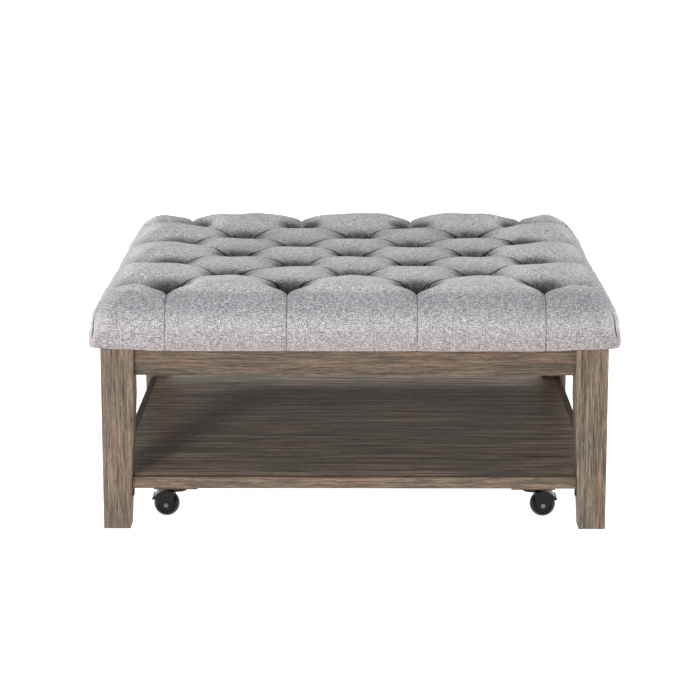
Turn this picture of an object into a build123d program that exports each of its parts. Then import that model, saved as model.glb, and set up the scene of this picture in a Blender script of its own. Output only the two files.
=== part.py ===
from build123d import *
import os
from math import sqrt

os.makedirs("parts", exist_ok=True)

# Square ottoman coffee table: a tufted top on a wooden frame, with a low shelf on four ball casters.
# Sizes are in millimetres. The origin is on the floor under the middle of the table,
# +X is to the right of someone who faces its front, +Y is to the rear and +Z is up.

# Frame
frame_width = 914.0
frame_depth = 914.0
frame_top = 337.0
frame_setback = 12.0
leg_size = 59.0
leg_foot_size = 48.5
leg_straight_length = 94.0
leg_floor_gap = 3.0
leg_bolt_flat = 12.0
wood_edge_radius = 1.2
rail_height = 50.0
rail_thickness = 22.0

# Corner blocks and the bolts that draw the legs in
block_height = 40.0
block_thickness = 25.0
block_leg_gap = 3.0
bolt_diameter = 8.0
bolt_leg_depth = 35.0
bolt_tail = 5.0
bolt_clearance = 0.5
washer_diameter = 20.0
washer_thickness = 2.0
nut_width = 13.0
nut_height = 6.5

# Wood screws
screw_diameter = 4.0
screw_head_diameter = 8.0
screw_head_height = 2.4
screw_point_length = 4.0
block_screw_grip = 12.0
block_screw_bite = 14.0
block_screw_spacing = 20.0
top_screw_bite = 11.0
top_screw_spacing = 36.0
shelf_screw_bite = 14.0
shelf_screw_spacing = 64.0
plate_screw_diameter = 3.5
plate_screw_head_diameter = 7.0
plate_screw_bite = 12.0

# Shelf, and the brackets that tie it to the legs
shelf_thickness = 21.5
shelf_edge_width = 14.0
bracket_width = 18.0
bracket_drop = 17.5
bracket_reach = 30.0
bracket_thickness = 2.0
bracket_edge_distance = 20.0
bracket_screw_bite = 14.0

# Casters
caster_height = 60.0
caster_inset_x = 127.0
caster_inset_y = 102.0
caster_trail = 20.0
caster_block_size = 81.0
caster_block_thickness = 15.5
plate_size = 42.0
plate_thickness = 2.5
plate_corner_radius = 5.0
plate_hole_spacing = 32.0
kingpin_diameter = 8.0
kingpin_head_diameter = 13.0
kingpin_head_height = 3.0
hood_cap_diameter = 35.0
hood_cap_height = 8.2
hood_cap_edge = 2.0
hood_web = 4.7
hood_shell_thickness = 2.5
hood_shell_gap = 0.9
hood_front_angle = 28.0
hood_back_angle = 130.0
hood_lip = 2.2
ear_thickness = 3.0
ear_radius = 11.0
ear_ring_radius = 8.0
ear_ring_width = 1.6
ear_ring_height = 0.9
ball_diameter = 48.0
ball_width = 34.0
ball_ring_radius = 14.2
ball_ring_width = 1.4
ball_ring_depth = 0.8
axle_diameter = 5.0
axle_head_diameter = 8.4
axle_head_height = 1.6

# Tufted top
top_overhang = 23.0
top_thickness = 121.0
top_corner_radius = 58.0
shoulder_radius = 55.0
bottom_roll_radius = 12.0
cover_side = 14.0
cover_crown = 33.0
cover_cloth = 1.5
cover_turn_in = 69.0
deck_thickness = 15.0
foam_edge_radius = 26.0
tuft_side_distance = 128.25
tuft_reach_steps = 3
tuft_depth = 53.0
tuft_mouth_radius = 54.0
tuft_throat_radius = 11.0
tuft_cup_wall = 7.0
tuft_cup_radius = 22.0
foam_hole_radius = 24.0
channel_depth = 24.0
channel_half_width = 56.0
pleat_depth = 7.0
pleat_half_width = 22.0
puff_rise = 0.6
button_radius = 10.0
button_edge_height = 2.5
button_dome_height = 3.5
twine_radius = 1.0
anchor_radius = 7.0
anchor_thickness = 3.0
anchor_recess = 4.0
anchor_recess_radius = 8.5
twine_hole_radius = 3.0

# Clearances
swivel_gap = 0.3
side_gap = 0.4
running_gap = 0.05
hole_gap = 0.1
seat_gap = 0.3
cut_overrun = 10.0

# Heights and places worked out from the sizes above
shelf_underside = caster_height + caster_block_thickness
shelf_top = shelf_underside + shelf_thickness
leg_outer_x = frame_width / 2
leg_outer_y = frame_depth / 2
leg_inner_x = leg_outer_x - leg_size
leg_inner_y = leg_outer_y - leg_size
leg_taper_start = frame_top - leg_straight_length
frame_face_x = leg_outer_x - frame_setback
frame_face_y = leg_outer_y - frame_setback
rail_inner_x = frame_face_x - rail_thickness
rail_inner_y = frame_face_y - rail_thickness
top_half_x = leg_outer_x + top_overhang
top_half_y = leg_outer_y + top_overhang
crest = frame_top + top_thickness
deck_underside = frame_top + cover_cloth
deck_top = deck_underside + deck_thickness
foam_top = crest - cover_crown
tuft_floor = crest - tuft_depth
outer_tuft_x = top_half_x - tuft_side_distance
outer_tuft_y = top_half_y - tuft_side_distance
tuft_step_x = outer_tuft_x / tuft_reach_steps
tuft_step_y = outer_tuft_y / tuft_reach_steps
swivel_x = leg_outer_x - caster_inset_x
swivel_y = leg_outer_y - caster_inset_y
ball_x = swivel_x + caster_trail
ball_radius = ball_diameter / 2

corners = {
    "front_left": (-1, -1),
    "front_right": (1, -1),
    "rear_left": (-1, 1),
    "rear_right": (1, 1),
}


def save(part, name):
    """Name a finished piece and write it."""
    part.label = name
    export_step(part, f"parts/{name}.step")


def save_each_corner(part, name):
    """Write one piece for each corner of the table, from the rear right one."""
    for corner, (side_x, side_y) in corners.items():
        with BuildPart() as copy:
            add(part)
            if side_x < 0:
                mirror(about=Plane.YZ, mode=Mode.REPLACE)
            if side_y < 0:
                mirror(about=Plane.XZ, mode=Mode.REPLACE)
        save(copy.part, f"{name}_{corner}")


def at_each_corner(part):
    """The like pieces of all four corners as one group of separate solids."""
    with BuildPart() as group:
        add(part)
        mirror(about=Plane.YZ)
        mirror(about=Plane.XZ)
    return group.part


def save_both_sides(part, name, across, sides):
    """Write a piece and the one opposite it on the other side of the table."""
    save(part, f"{name}_{sides[0]}")
    with BuildPart() as opposite:
        add(part)
        mirror(about=across, mode=Mode.REPLACE)
    save(opposite.part, f"{name}_{sides[1]}")


def countersunk_screw(length, diameter, head_diameter, gap=0.0):
    """A screw that points along +Z with its head flush at zero. A gap grows it into its hole."""
    with BuildPart() as screw:
        with BuildSketch(Plane.XZ):
            with BuildLine():
                Polyline(
                    (0, 0),
                    (head_diameter / 2 + gap, 0),
                    (diameter / 2 + gap, screw_head_height + gap),
                    (diameter / 2 + gap, length - screw_point_length + gap),
                    (0, length + gap),
                    close=True,
                )
            make_face()
        revolve(axis=Axis.Z)
    return screw.part


def round_bar(radius, length):
    """A plain bar that stands on zero along +Z."""
    with BuildPart() as bar:
        with BuildSketch():
            Circle(radius)
        extrude(amount=length)
    return bar.part


# Legs: square above, tapered on their two inner faces below
bolt_height = frame_top - block_height / 2
leg_flat_x = leg_inner_x + leg_bolt_flat / 2
leg_flat_y = leg_inner_y + leg_bolt_flat / 2
leg_bolt_plane = Plane(origin=(leg_flat_x, leg_flat_y, bolt_height), z_dir=(1, 1, 0))
taper_share = (shelf_underside - leg_floor_gap) / (leg_taper_start - leg_floor_gap)
leg_size_at_shelf = leg_foot_size + (leg_size - leg_foot_size) * taper_share
bracket_face_x = leg_outer_x - leg_size_at_shelf
bracket_y = frame_face_y - bracket_edge_distance
bracket_screw_length = bracket_thickness + bracket_screw_bite
bracket_screw_height = shelf_underside - bracket_drop / 2
leg_screw_plane = Plane(
    origin=(bracket_face_x - bracket_thickness, bracket_y, bracket_screw_height), z_dir=(1, 0, 0)
)
bracket_screw_hole = countersunk_screw(
    bracket_screw_length, screw_diameter, screw_head_diameter, hole_gap
)


with BuildPart() as corner_leg:
    with BuildSketch(Plane.XY.offset(leg_taper_start)):
        with Locations((leg_outer_x - leg_size / 2, leg_outer_y - leg_size / 2)):
            RectangleRounded(leg_size, leg_size, wood_edge_radius)
    extrude(amount=leg_straight_length)
    for height, size in ((leg_floor_gap, leg_foot_size), (leg_taper_start, leg_size)):
        with BuildSketch(Plane.XY.offset(height)):
            with Locations((leg_outer_x - size / 2, leg_outer_y - size / 2)):
                RectangleRounded(size, size, wood_edge_radius)
    loft(ruled=True)
    # A flat on the hidden inner corner, square to the bolt
    with BuildSketch(Plane.XY.offset(frame_top - block_height)):
        with BuildLine():
            Polyline(
                (leg_inner_x, leg_inner_y),
                (leg_inner_x + leg_bolt_flat, leg_inner_y),
                (leg_inner_x, leg_inner_y + leg_bolt_flat),
                close=True,
            )
        make_face()
    extrude(amount=block_height, mode=Mode.SUBTRACT)
    with Locations(leg_bolt_plane):
        add(round_bar(bolt_diameter / 2 + hole_gap, bolt_leg_depth + hole_gap), mode=Mode.SUBTRACT)
    with Locations(leg_screw_plane):
        add(bracket_screw_hole, mode=Mode.SUBTRACT)
save_each_corner(corner_leg.part, "leg")

# Corner blocks: they bridge the rails at 45 degrees behind each leg
block_reach = (leg_size - frame_setback - rail_thickness - leg_bolt_flat / 2) * sqrt(2) + block_leg_gap
block_near = block_reach * sqrt(2)
block_far = (block_reach + block_thickness) * sqrt(2)
block_screw_along = (block_near + block_far) / 2
block_screw_length = block_screw_grip + block_screw_bite
top_screw_length = block_height + cover_cloth + top_screw_bite
block_middle = (block_reach + block_thickness / 2) / sqrt(2)
rear_rail_screws = []
side_rail_screws = []
for height in (bolt_height - block_screw_spacing / 2, bolt_height + block_screw_spacing / 2):
    into_rear_rail = (rail_inner_x - block_screw_along, rail_inner_y - block_screw_grip, height)
    into_side_rail = (rail_inner_x - block_screw_grip, rail_inner_y - block_screw_along, height)
    rear_rail_screws.append(Plane(origin=into_rear_rail, z_dir=(0, 1, 0)))
    side_rail_screws.append(Plane(origin=into_side_rail, z_dir=(1, 0, 0)))
block_screw_planes = rear_rail_screws + side_rail_screws
top_screw_offset = top_screw_spacing / 2 / sqrt(2)
top_screw_places = [
    (
        rail_inner_x - block_middle + side * top_screw_offset,
        rail_inner_y - block_middle - side * top_screw_offset,
        frame_top - block_height,
    )
    for side in (-1, 1)
]
frame_screw = countersunk_screw(block_screw_length, screw_diameter, screw_head_diameter)
frame_screw_hole = countersunk_screw(block_screw_length, screw_diameter, screw_head_diameter, hole_gap)
top_screw = countersunk_screw(top_screw_length, screw_diameter, screw_head_diameter)
top_screw_hole = countersunk_screw(top_screw_length, screw_diameter, screw_head_diameter, hole_gap)
screw_head_recess = round_bar(screw_head_diameter / 2 + hole_gap, block_thickness)

with BuildPart() as corner_block:
    with BuildSketch(Plane.XY.offset(frame_top - block_height)):
        with BuildLine():
            Polyline(
                (rail_inner_x - block_near, rail_inner_y),
                (rail_inner_x, rail_inner_y - block_near),
                (rail_inner_x, rail_inner_y - block_far),
                (rail_inner_x - block_far, rail_inner_y),
                close=True,
            )
        make_face()
    extrude(amount=block_height)
    with Locations(leg_bolt_plane.offset(-block_leg_gap - block_thickness - cut_overrun)):
        add(
            round_bar(bolt_diameter / 2 + bolt_clearance, block_thickness + 2 * cut_overrun),
            mode=Mode.SUBTRACT,
        )
    with Locations(*block_screw_planes):
        add(frame_screw_hole, mode=Mode.SUBTRACT)
    with Locations(*[plane.offset(-block_thickness) for plane in block_screw_planes]):
        add(screw_head_recess, mode=Mode.SUBTRACT)
    with Locations(*top_screw_places):
        add(top_screw_hole, mode=Mode.SUBTRACT)
save_each_corner(corner_block.part, "corner_block")

with BuildPart() as frame_screws:
    with Locations(*block_screw_planes):
        add(frame_screw)
save(at_each_corner(frame_screws.part), "corner_block_screws")

with BuildPart() as top_screws:
    with Locations(*top_screw_places):
        add(top_screw)
save(at_each_corner(top_screws.part), "top_fixing_screws")

with BuildPart() as corner_top_holes:
    with Locations(*top_screw_places):
        add(top_screw_hole)
top_screw_holes = at_each_corner(corner_top_holes.part)

# Hanger bolts, each with a washer and a nut on the inner face of its block
washer_seat = block_leg_gap + block_thickness
bolt_inner_end = washer_seat + washer_thickness + nut_height + bolt_tail
with BuildPart() as hanger_bolt:
    with Locations(leg_bolt_plane.offset(-bolt_inner_end)):
        add(round_bar(bolt_diameter / 2, bolt_inner_end + bolt_leg_depth))
save(at_each_corner(hanger_bolt.part), "hanger_bolts")

with BuildPart() as hanger_washer:
    with BuildSketch(leg_bolt_plane.offset(-washer_seat - washer_thickness)):
        Circle(washer_diameter / 2)
        Circle(bolt_diameter / 2 + hole_gap, mode=Mode.SUBTRACT)
    extrude(amount=washer_thickness)
save(at_each_corner(hanger_washer.part), "hanger_washers")

with BuildPart() as hanger_nut:
    with BuildSketch(leg_bolt_plane.offset(-washer_seat - washer_thickness - nut_height)):
        RegularPolygon(nut_width / 2, 6, major_radius=False)
        Circle(bolt_diameter / 2 + hole_gap, mode=Mode.SUBTRACT)
    extrude(amount=nut_height)
save(at_each_corner(hanger_nut.part), "hanger_nuts")

# Rails: they butt the inner faces of the legs and carry the top
with BuildPart() as corner_rail_holes:
    with Locations(*block_screw_planes):
        add(frame_screw_hole)
rail_screw_holes = at_each_corner(corner_rail_holes.part)

with BuildPart() as rear_rail:
    with BuildSketch(Plane.YZ.offset(-leg_inner_x)):
        with Locations(((rail_inner_y + frame_face_y) / 2, frame_top - rail_height / 2)):
            Rectangle(rail_thickness, rail_height)
    extrude(amount=2 * leg_inner_x)
    fillet(rear_rail.edges().filter_by(Axis.X).group_by(Axis.Z)[0], wood_edge_radius)
    add(rail_screw_holes, mode=Mode.SUBTRACT)
save_both_sides(rear_rail.part, "rail", Plane.XZ, ("rear", "front"))

with BuildPart() as right_rail:
    with BuildSketch(Plane.XZ.offset(-leg_inner_y)):
        with Locations(((rail_inner_x + frame_face_x) / 2, frame_top - rail_height / 2)):
            Rectangle(rail_thickness, rail_height)
    extrude(amount=2 * leg_inner_y)
    fillet(right_rail.edges().filter_by(Axis.Y).group_by(Axis.Z)[0], wood_edge_radius)
    add(rail_screw_holes, mode=Mode.SUBTRACT)
save_both_sides(right_rail.part, "rail", Plane.YZ, ("right", "left"))

# Shelf: a panel notched around the legs, with a solid edging between the legs on each side
notch_share = (shelf_top - leg_floor_gap) / (leg_taper_start - leg_floor_gap)
leg_size_at_notch = leg_foot_size + (leg_size - leg_foot_size) * notch_share
notch_x = leg_outer_x - leg_size_at_notch - seat_gap
notch_y = leg_outer_y - leg_size_at_notch - seat_gap
panel_half_x = frame_face_x - shelf_edge_width
panel_half_y = frame_face_y - shelf_edge_width
block_half = caster_block_size / 2
shelf_screw_length = caster_block_thickness + shelf_screw_bite
shelf_screw = countersunk_screw(shelf_screw_length, screw_diameter, screw_head_diameter)
shelf_screw_hole = countersunk_screw(shelf_screw_length, screw_diameter, screw_head_diameter, hole_gap)
shelf_screw_places = [
    (swivel_x + side_x * shelf_screw_spacing / 2, swivel_y + side_y * shelf_screw_spacing / 2, caster_height)
    for side_x, side_y in corners.values()
]
bracket_reach_x = bracket_face_x - bracket_reach
shelf_bracket_screw_x = bracket_face_x - bracket_reach / 2
bracket_shelf_plane = Plane(
    origin=(shelf_bracket_screw_x, bracket_y, shelf_underside - bracket_thickness), z_dir=(0, 0, 1)
)

with BuildPart() as corner_shelf_holes:
    with Locations(*shelf_screw_places):
        add(shelf_screw_hole)
    with Locations(bracket_shelf_plane):
        add(bracket_screw_hole)
shelf_screw_holes = at_each_corner(corner_shelf_holes.part)

with BuildPart() as shelf_panel:
    with BuildSketch(Plane.XY.offset(shelf_underside)):
        Rectangle(2 * panel_half_x, 2 * notch_y)
        Rectangle(2 * notch_x, 2 * panel_half_y)
    extrude(amount=shelf_thickness)
    add(shelf_screw_holes, mode=Mode.SUBTRACT)
save(shelf_panel.part, "shelf_panel")

with BuildPart() as rear_edging:
    with BuildSketch(Plane.XY.offset(shelf_underside)):
        with Locations((0, (panel_half_y + frame_face_y) / 2)):
            Rectangle(2 * notch_x, shelf_edge_width)
    extrude(amount=shelf_thickness)
    fillet(rear_edging.edges().filter_by(Axis.X).group_by(Axis.Y)[-1], wood_edge_radius)
    add(shelf_screw_holes, mode=Mode.SUBTRACT)
save_both_sides(rear_edging.part, "shelf_edge", Plane.XZ, ("rear", "front"))

with BuildPart() as right_edging:
    with BuildSketch(Plane.XY.offset(shelf_underside)):
        with Locations(((panel_half_x + frame_face_x) / 2, 0)):
            Rectangle(shelf_edge_width, 2 * notch_y)
    extrude(amount=shelf_thickness)
    fillet(right_edging.edges().filter_by(Axis.Y).group_by(Axis.X)[-1], wood_edge_radius)
    add(shelf_screw_holes, mode=Mode.SUBTRACT)
save_both_sides(right_edging.part, "shelf_edge", Plane.YZ, ("right", "left"))

# Brackets: an angle under each corner of the shelf, screwed to the shelf and to the leg
with BuildPart() as bracket:
    with BuildSketch(Plane.XZ.offset(-bracket_y - bracket_width / 2)):
        with BuildLine():
            Polyline(
                (bracket_face_x, shelf_underside),
                (bracket_face_x, shelf_underside - bracket_drop),
                (bracket_face_x - bracket_thickness, shelf_underside - bracket_drop),
                (bracket_face_x - bracket_thickness, shelf_underside - bracket_thickness),
                (bracket_reach_x, shelf_underside - bracket_thickness),
                (bracket_reach_x, shelf_underside),
                close=True,
            )
        make_face()
    extrude(amount=bracket_width)
    with Locations(leg_screw_plane, bracket_shelf_plane):
        add(bracket_screw_hole, mode=Mode.SUBTRACT)
save(at_each_corner(bracket.part), "shelf_brackets")

with BuildPart() as bracket_screw_pair:
    with Locations(leg_screw_plane, bracket_shelf_plane):
        add(countersunk_screw(bracket_screw_length, screw_diameter, screw_head_diameter))
save(at_each_corner(bracket_screw_pair.part), "shelf_bracket_screws")

# Caster blocks: they bring the casters down below the shelf
plate_screw_length = plate_thickness + plate_screw_bite
plate_screw = countersunk_screw(plate_screw_length, plate_screw_diameter, plate_screw_head_diameter)
plate_screw_hole = countersunk_screw(
    plate_screw_length, plate_screw_diameter, plate_screw_head_diameter, hole_gap
)
plate_underside = caster_height - plate_thickness
plate_screw_places = [
    (swivel_x + side_x * plate_hole_spacing / 2, swivel_y + side_y * plate_hole_spacing / 2, plate_underside)
    for side_x, side_y in corners.values()
]
with BuildPart() as caster_block:
    with BuildSketch(Plane.XY.offset(caster_height)):
        with Locations((swivel_x, swivel_y)):
            Rectangle(caster_block_size, caster_block_size)
    extrude(amount=caster_block_thickness)
    with Locations(*shelf_screw_places):
        add(shelf_screw_hole, mode=Mode.SUBTRACT)
    with Locations(*plate_screw_places):
        add(plate_screw_hole, mode=Mode.SUBTRACT)
save_each_corner(caster_block.part, "caster_block")

with BuildPart() as shelf_screws:
    with Locations(*shelf_screw_places):
        add(shelf_screw)
save(at_each_corner(shelf_screws.part), "caster_block_screws")

# Caster plate and the kingpin riveted to it
swivel_plane = Plane(origin=(swivel_x, swivel_y, 0))
cap_top = plate_underside - swivel_gap
cap_bottom = cap_top - hood_cap_height
web_bottom = cap_top - hood_web
with BuildPart() as caster_plate:
    with BuildSketch(swivel_plane.offset(plate_underside)):
        RectangleRounded(plate_size, plate_size, plate_corner_radius)
        Circle(kingpin_diameter / 2 + hole_gap, mode=Mode.SUBTRACT)
    extrude(amount=plate_thickness)
    with Locations(*plate_screw_places):
        add(plate_screw_hole, mode=Mode.SUBTRACT)
save_each_corner(caster_plate.part, "caster_plate")

with BuildPart() as plate_screws:
    with Locations(*plate_screw_places):
        add(plate_screw)
save(at_each_corner(plate_screws.part), "caster_plate_screws")

kingpin_head_top = web_bottom - swivel_gap
with BuildPart() as kingpin:
    with BuildSketch(swivel_plane.offset(kingpin_head_top - kingpin_head_height)):
        Circle(kingpin_head_diameter / 2)
    extrude(amount=kingpin_head_height)
    with BuildSketch(swivel_plane.offset(kingpin_head_top)):
        Circle(kingpin_diameter / 2)
    extrude(amount=caster_height - kingpin_head_top)
save_each_corner(kingpin.part, "caster_kingpin")

# Hood: a swivel cap, a curved cover over the outer side of the ball and an ear at each end of the axle
ball_plane = Plane(origin=(ball_x, swivel_y, ball_radius), x_dir=(1, 0, 0), z_dir=(0, -1, 0))
shell_inner = ball_radius + hood_shell_gap
shell_middle = shell_inner + hood_shell_thickness / 2
shell_outer = shell_inner + hood_shell_thickness
ear_inner = ball_width / 2 + side_gap
ear_outer = ear_inner + ear_thickness
hood_sweep = hood_back_angle - hood_front_angle
with BuildPart() as hood:
    with BuildSketch(swivel_plane.offset(cap_bottom)):
        Circle(hood_cap_diameter / 2)
    extrude(amount=hood_cap_height)
    fillet(hood.edges().sort_by(Axis.Z)[-1], hood_cap_edge)
    with BuildSketch(ball_plane.offset(-ear_outer)):
        with BuildLine():
            outer_arc = CenterArc((0, 0), shell_outer, hood_front_angle, hood_sweep)
            inner_arc = CenterArc((0, 0), shell_inner, hood_front_angle, hood_sweep)
            Line(outer_arc @ 1, inner_arc @ 1)
            Line(outer_arc @ 0, inner_arc @ 0)
        make_face()
        with PolarLocations(shell_inner + hood_lip, 1, start_angle=hood_front_angle):
            Circle(hood_lip)
    extrude(amount=2 * ear_outer)
    for start in (-ear_outer, ear_inner):
        with BuildSketch(ball_plane.offset(start)):
            with BuildLine():
                rim = CenterArc((0, 0), shell_middle, hood_front_angle, hood_sweep)
                Line(rim @ 1, (-ear_radius, 0))
                Line(rim @ 0, (ear_radius, 0))
                CenterArc((0, 0), ear_radius, 180, 180)
            make_face()
        extrude(amount=ear_thickness)
    for start in (-ear_outer - ear_ring_height, ear_outer):
        with BuildSketch(ball_plane.offset(start)):
            Circle(ear_ring_radius)
            Circle(ear_ring_radius - ear_ring_width, mode=Mode.SUBTRACT)
        extrude(amount=ear_ring_height)
    # Room for the kingpin and its head, and for the axle
    with Locations(swivel_plane.offset(cap_bottom - cut_overrun)):
        add(
            round_bar(kingpin_head_diameter / 2 + swivel_gap, cut_overrun + web_bottom - cap_bottom),
            mode=Mode.SUBTRACT,
        )
    with Locations(swivel_plane.offset(cap_bottom)):
        add(round_bar(kingpin_diameter / 2 + running_gap, hood_cap_height), mode=Mode.SUBTRACT)
    with Locations(ball_plane.offset(-ear_outer - cut_overrun)):
        add(
            round_bar(axle_diameter / 2 + running_gap, 2 * (ear_outer + cut_overrun)),
            mode=Mode.SUBTRACT,
        )
save_each_corner(hood.part, "caster_hood")

with BuildPart() as axle:
    with BuildSketch(ball_plane.offset(-ear_outer)):
        Circle(axle_diameter / 2)
    extrude(amount=2 * ear_outer)
    for start in (-ear_outer - axle_head_height, ear_outer):
        with BuildSketch(ball_plane.offset(start)):
            Circle(axle_head_diameter / 2)
        extrude(amount=axle_head_height)
save_each_corner(axle.part, "caster_axle")

with BuildPart() as ball:
    with Locations((ball_x, swivel_y, ball_radius)):
        Sphere(ball_radius)
    with BuildSketch(ball_plane.offset(-ball_width / 2)):
        Circle(ball_diameter)
    extrude(amount=ball_width, mode=Mode.INTERSECT)
    for start in (-ball_width / 2, ball_width / 2 - ball_ring_depth):
        with BuildSketch(ball_plane.offset(start)):
            Circle(ball_ring_radius)
            Circle(ball_ring_radius - ball_ring_width, mode=Mode.SUBTRACT)
        extrude(amount=ball_ring_depth, mode=Mode.SUBTRACT)
    with Locations(ball_plane.offset(-ball_width)):
        add(round_bar(axle_diameter / 2 + running_gap, 2 * ball_width), mode=Mode.SUBTRACT)
save_each_corner(ball.part, "caster_ball")

# Tuft places: rows of four and of three by turns, each tuft halfway between two of the next row.
# Counted in steps from the middle, a tuft's column and row are both odd or both even.
steps = range(-tuft_reach_steps, tuft_reach_steps + 1)
outer_steps = [step for step in steps if (step - tuft_reach_steps) % 2 == 0]
tufts = [
    (column * tuft_step_x, row * tuft_step_y)
    for row in steps
    for column in steps
    if (column - row) % 2 == 0
]


def crease_outline(half_width, depth):
    """The hollow between two puffs: two rounded sides that meet in a crease."""
    with BuildLine() as outline:
        TangentArc((-half_width, puff_rise), (0, -depth), tangent=(1, 0))
        TangentArc((half_width, puff_rise), (0, -depth), tangent=(-1, 0))
        Polyline(
            (-half_width, puff_rise),
            (-half_width, cut_overrun),
            (half_width, cut_overrun),
            (half_width, puff_rise),
        )
    return outline.edges()


def crease(first, last):
    """The hollow that runs straight from the tuft at one step place to that at another."""
    start = Vector(first[0] * tuft_step_x, first[1] * tuft_step_y, crest)
    run = Vector(last[0] * tuft_step_x, last[1] * tuft_step_y, crest) - start
    with BuildPart() as hollow:
        with BuildSketch(Plane(origin=start, x_dir=(-run.Y, run.X, 0), z_dir=run)):
            make_face(crease_outline(channel_half_width, channel_depth))
        extrude(amount=run.length)
    return hollow.part


def pleat(start_x, start_y, outward):
    """The groove of a pleat, from an outer tuft straight out over the shoulder and down the side."""
    start = Vector(start_x, start_y, crest)
    out = Vector(outward)
    with BuildPart() as groove:
        with BuildLine() as path:
            over = Line(start, start + out * (tuft_side_distance - shoulder_radius))
            bend = TangentArc(
                over @ 1,
                (over @ 1) + out * shoulder_radius - Vector(0, 0, shoulder_radius),
                tangent=over % 1,
            )
            Line(bend @ 1, (bend @ 1) - Vector(0, 0, top_thickness))
        with BuildSketch(Plane(origin=start, x_dir=(-out.Y, out.X, 0), z_dir=out)):
            make_face(crease_outline(pleat_half_width, pleat_depth))
        sweep(path=path.line)
    return groove.part


# Deck board: the upholstery's base, drilled for the tufting twine
with BuildPart() as deck_board:
    with BuildSketch(Plane.XY.offset(deck_underside)):
        RectangleRounded(
            2 * (top_half_x - cover_side),
            2 * (top_half_y - cover_side),
            top_corner_radius - cover_side,
        )
        with Locations(*tufts):
            Circle(twine_hole_radius, mode=Mode.SUBTRACT)
    extrude(amount=deck_thickness)
    with BuildSketch(Plane.XY.offset(deck_underside)):
        with Locations(*tufts):
            Circle(anchor_recess_radius)
    extrude(amount=anchor_recess, mode=Mode.SUBTRACT)
    add(top_screw_holes, mode=Mode.SUBTRACT)
save(deck_board.part, "deck_board")

# Foam pad: soft core, with a hole under each tuft
with BuildPart() as foam_pad:
    with BuildSketch(Plane.XY.offset(deck_top)):
        RectangleRounded(
            2 * (top_half_x - cover_side - seat_gap),
            2 * (top_half_y - cover_side - seat_gap),
            top_corner_radius - cover_side - seat_gap,
        )
    extrude(amount=foam_top - seat_gap - deck_top)
    fillet(foam_pad.faces().sort_by(Axis.Z)[-1].edges(), foam_edge_radius - seat_gap)
    with BuildSketch(Plane.XY.offset(deck_top)):
        with Locations(*tufts):
            Circle(foam_hole_radius)
    extrude(amount=foam_top - deck_top, mode=Mode.SUBTRACT)
save(foam_pad.part, "foam_pad")

# Tufted cover: padded cloth over the foam, drawn down at each tuft and turned in under the deck
with BuildPart() as cover_hollow:
    with BuildSketch(Plane.XY.offset(deck_underside)):
        RectangleRounded(
            2 * (top_half_x - cover_side),
            2 * (top_half_y - cover_side),
            top_corner_radius - cover_side,
        )
    extrude(amount=foam_top - deck_underside)
    fillet(cover_hollow.faces().sort_by(Axis.Z)[-1].edges(), foam_edge_radius)
    with BuildSketch(Plane.XY.offset(frame_top - cut_overrun)):
        Rectangle(2 * (top_half_x - cover_turn_in), 2 * (top_half_y - cover_turn_in))
    extrude(amount=cut_overrun + cover_cloth)

with BuildPart() as well:
    with BuildSketch(Plane.XZ):
        with BuildLine():
            TangentArc(
                (tuft_mouth_radius, crest + puff_rise),
                (tuft_throat_radius, tuft_floor),
                tangent=(-1, 0),
            )
            Polyline(
                (tuft_throat_radius, tuft_floor),
                (0, tuft_floor),
                (0, crest + cut_overrun),
                (tuft_mouth_radius, crest + cut_overrun),
                (tuft_mouth_radius, crest + puff_rise),
            )
        make_face()
    revolve(axis=Axis.Z)

with BuildPart() as tufted_cover:
    with BuildSketch(Plane.XY.offset(frame_top)):
        RectangleRounded(2 * top_half_x, 2 * top_half_y, top_corner_radius)
    extrude(amount=top_thickness)
    fillet(tufted_cover.faces().sort_by(Axis.Z)[-1].edges(), shoulder_radius)
    fillet(tufted_cover.faces().sort_by(Axis.Z)[0].edges(), bottom_roll_radius)
    add(cover_hollow.part, mode=Mode.SUBTRACT)
    with BuildSketch(Plane.XY.offset(tuft_floor - tuft_cup_wall)):
        with Locations(*tufts):
            Circle(tuft_cup_radius)
    extrude(amount=foam_top + tuft_cup_wall - tuft_floor)
    # Creases along the diagonals: those that rise to the right and those that fall
    for shift in range(-2 * tuft_reach_steps, 2 * tuft_reach_steps + 1, 2):
        low = max(-tuft_reach_steps, -tuft_reach_steps - shift)
        high = min(tuft_reach_steps, tuft_reach_steps - shift)
        if low < high:
            add(crease((low, low + shift), (high, high + shift)), mode=Mode.SUBTRACT)
            add(crease((low, -low - shift), (high, -high - shift)), mode=Mode.SUBTRACT)
    # Pleats from the outer tufts over each side
    for step in outer_steps:
        for side in (-1, 1):
            across = pleat(step * tuft_step_x, side * outer_tuft_y, (0, side, 0))
            along = pleat(side * outer_tuft_x, step * tuft_step_y, (side, 0, 0))
            add([across, along], mode=Mode.SUBTRACT)
    with Locations(*tufts):
        add(well.part, mode=Mode.SUBTRACT)
    with BuildSketch(Plane.XY.offset(tuft_floor - tuft_cup_wall)):
        with Locations(*tufts):
            Circle(twine_radius + seat_gap)
    extrude(amount=tuft_cup_wall, mode=Mode.SUBTRACT)
    add(top_screw_holes, mode=Mode.SUBTRACT)
save(tufted_cover.part, "tufted_cover")

# Buttons, the twine that holds each one down and its anchor under the deck
with BuildPart() as button:
    with BuildSketch(Plane.XZ):
        with BuildLine():
            Polyline(
                (0, tuft_floor + button_edge_height + button_dome_height),
                (0, tuft_floor),
                (button_radius, tuft_floor),
                (button_radius, tuft_floor + button_edge_height),
            )
            TangentArc(
                (0, tuft_floor + button_edge_height + button_dome_height),
                (button_radius, tuft_floor + button_edge_height),
                tangent=(1, 0),
            )
        make_face()
    revolve(axis=Axis.Z)
with BuildPart() as tuft_buttons:
    with Locations(*tufts):
        add(button.part)
save(tuft_buttons.part, "tuft_buttons")

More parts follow.
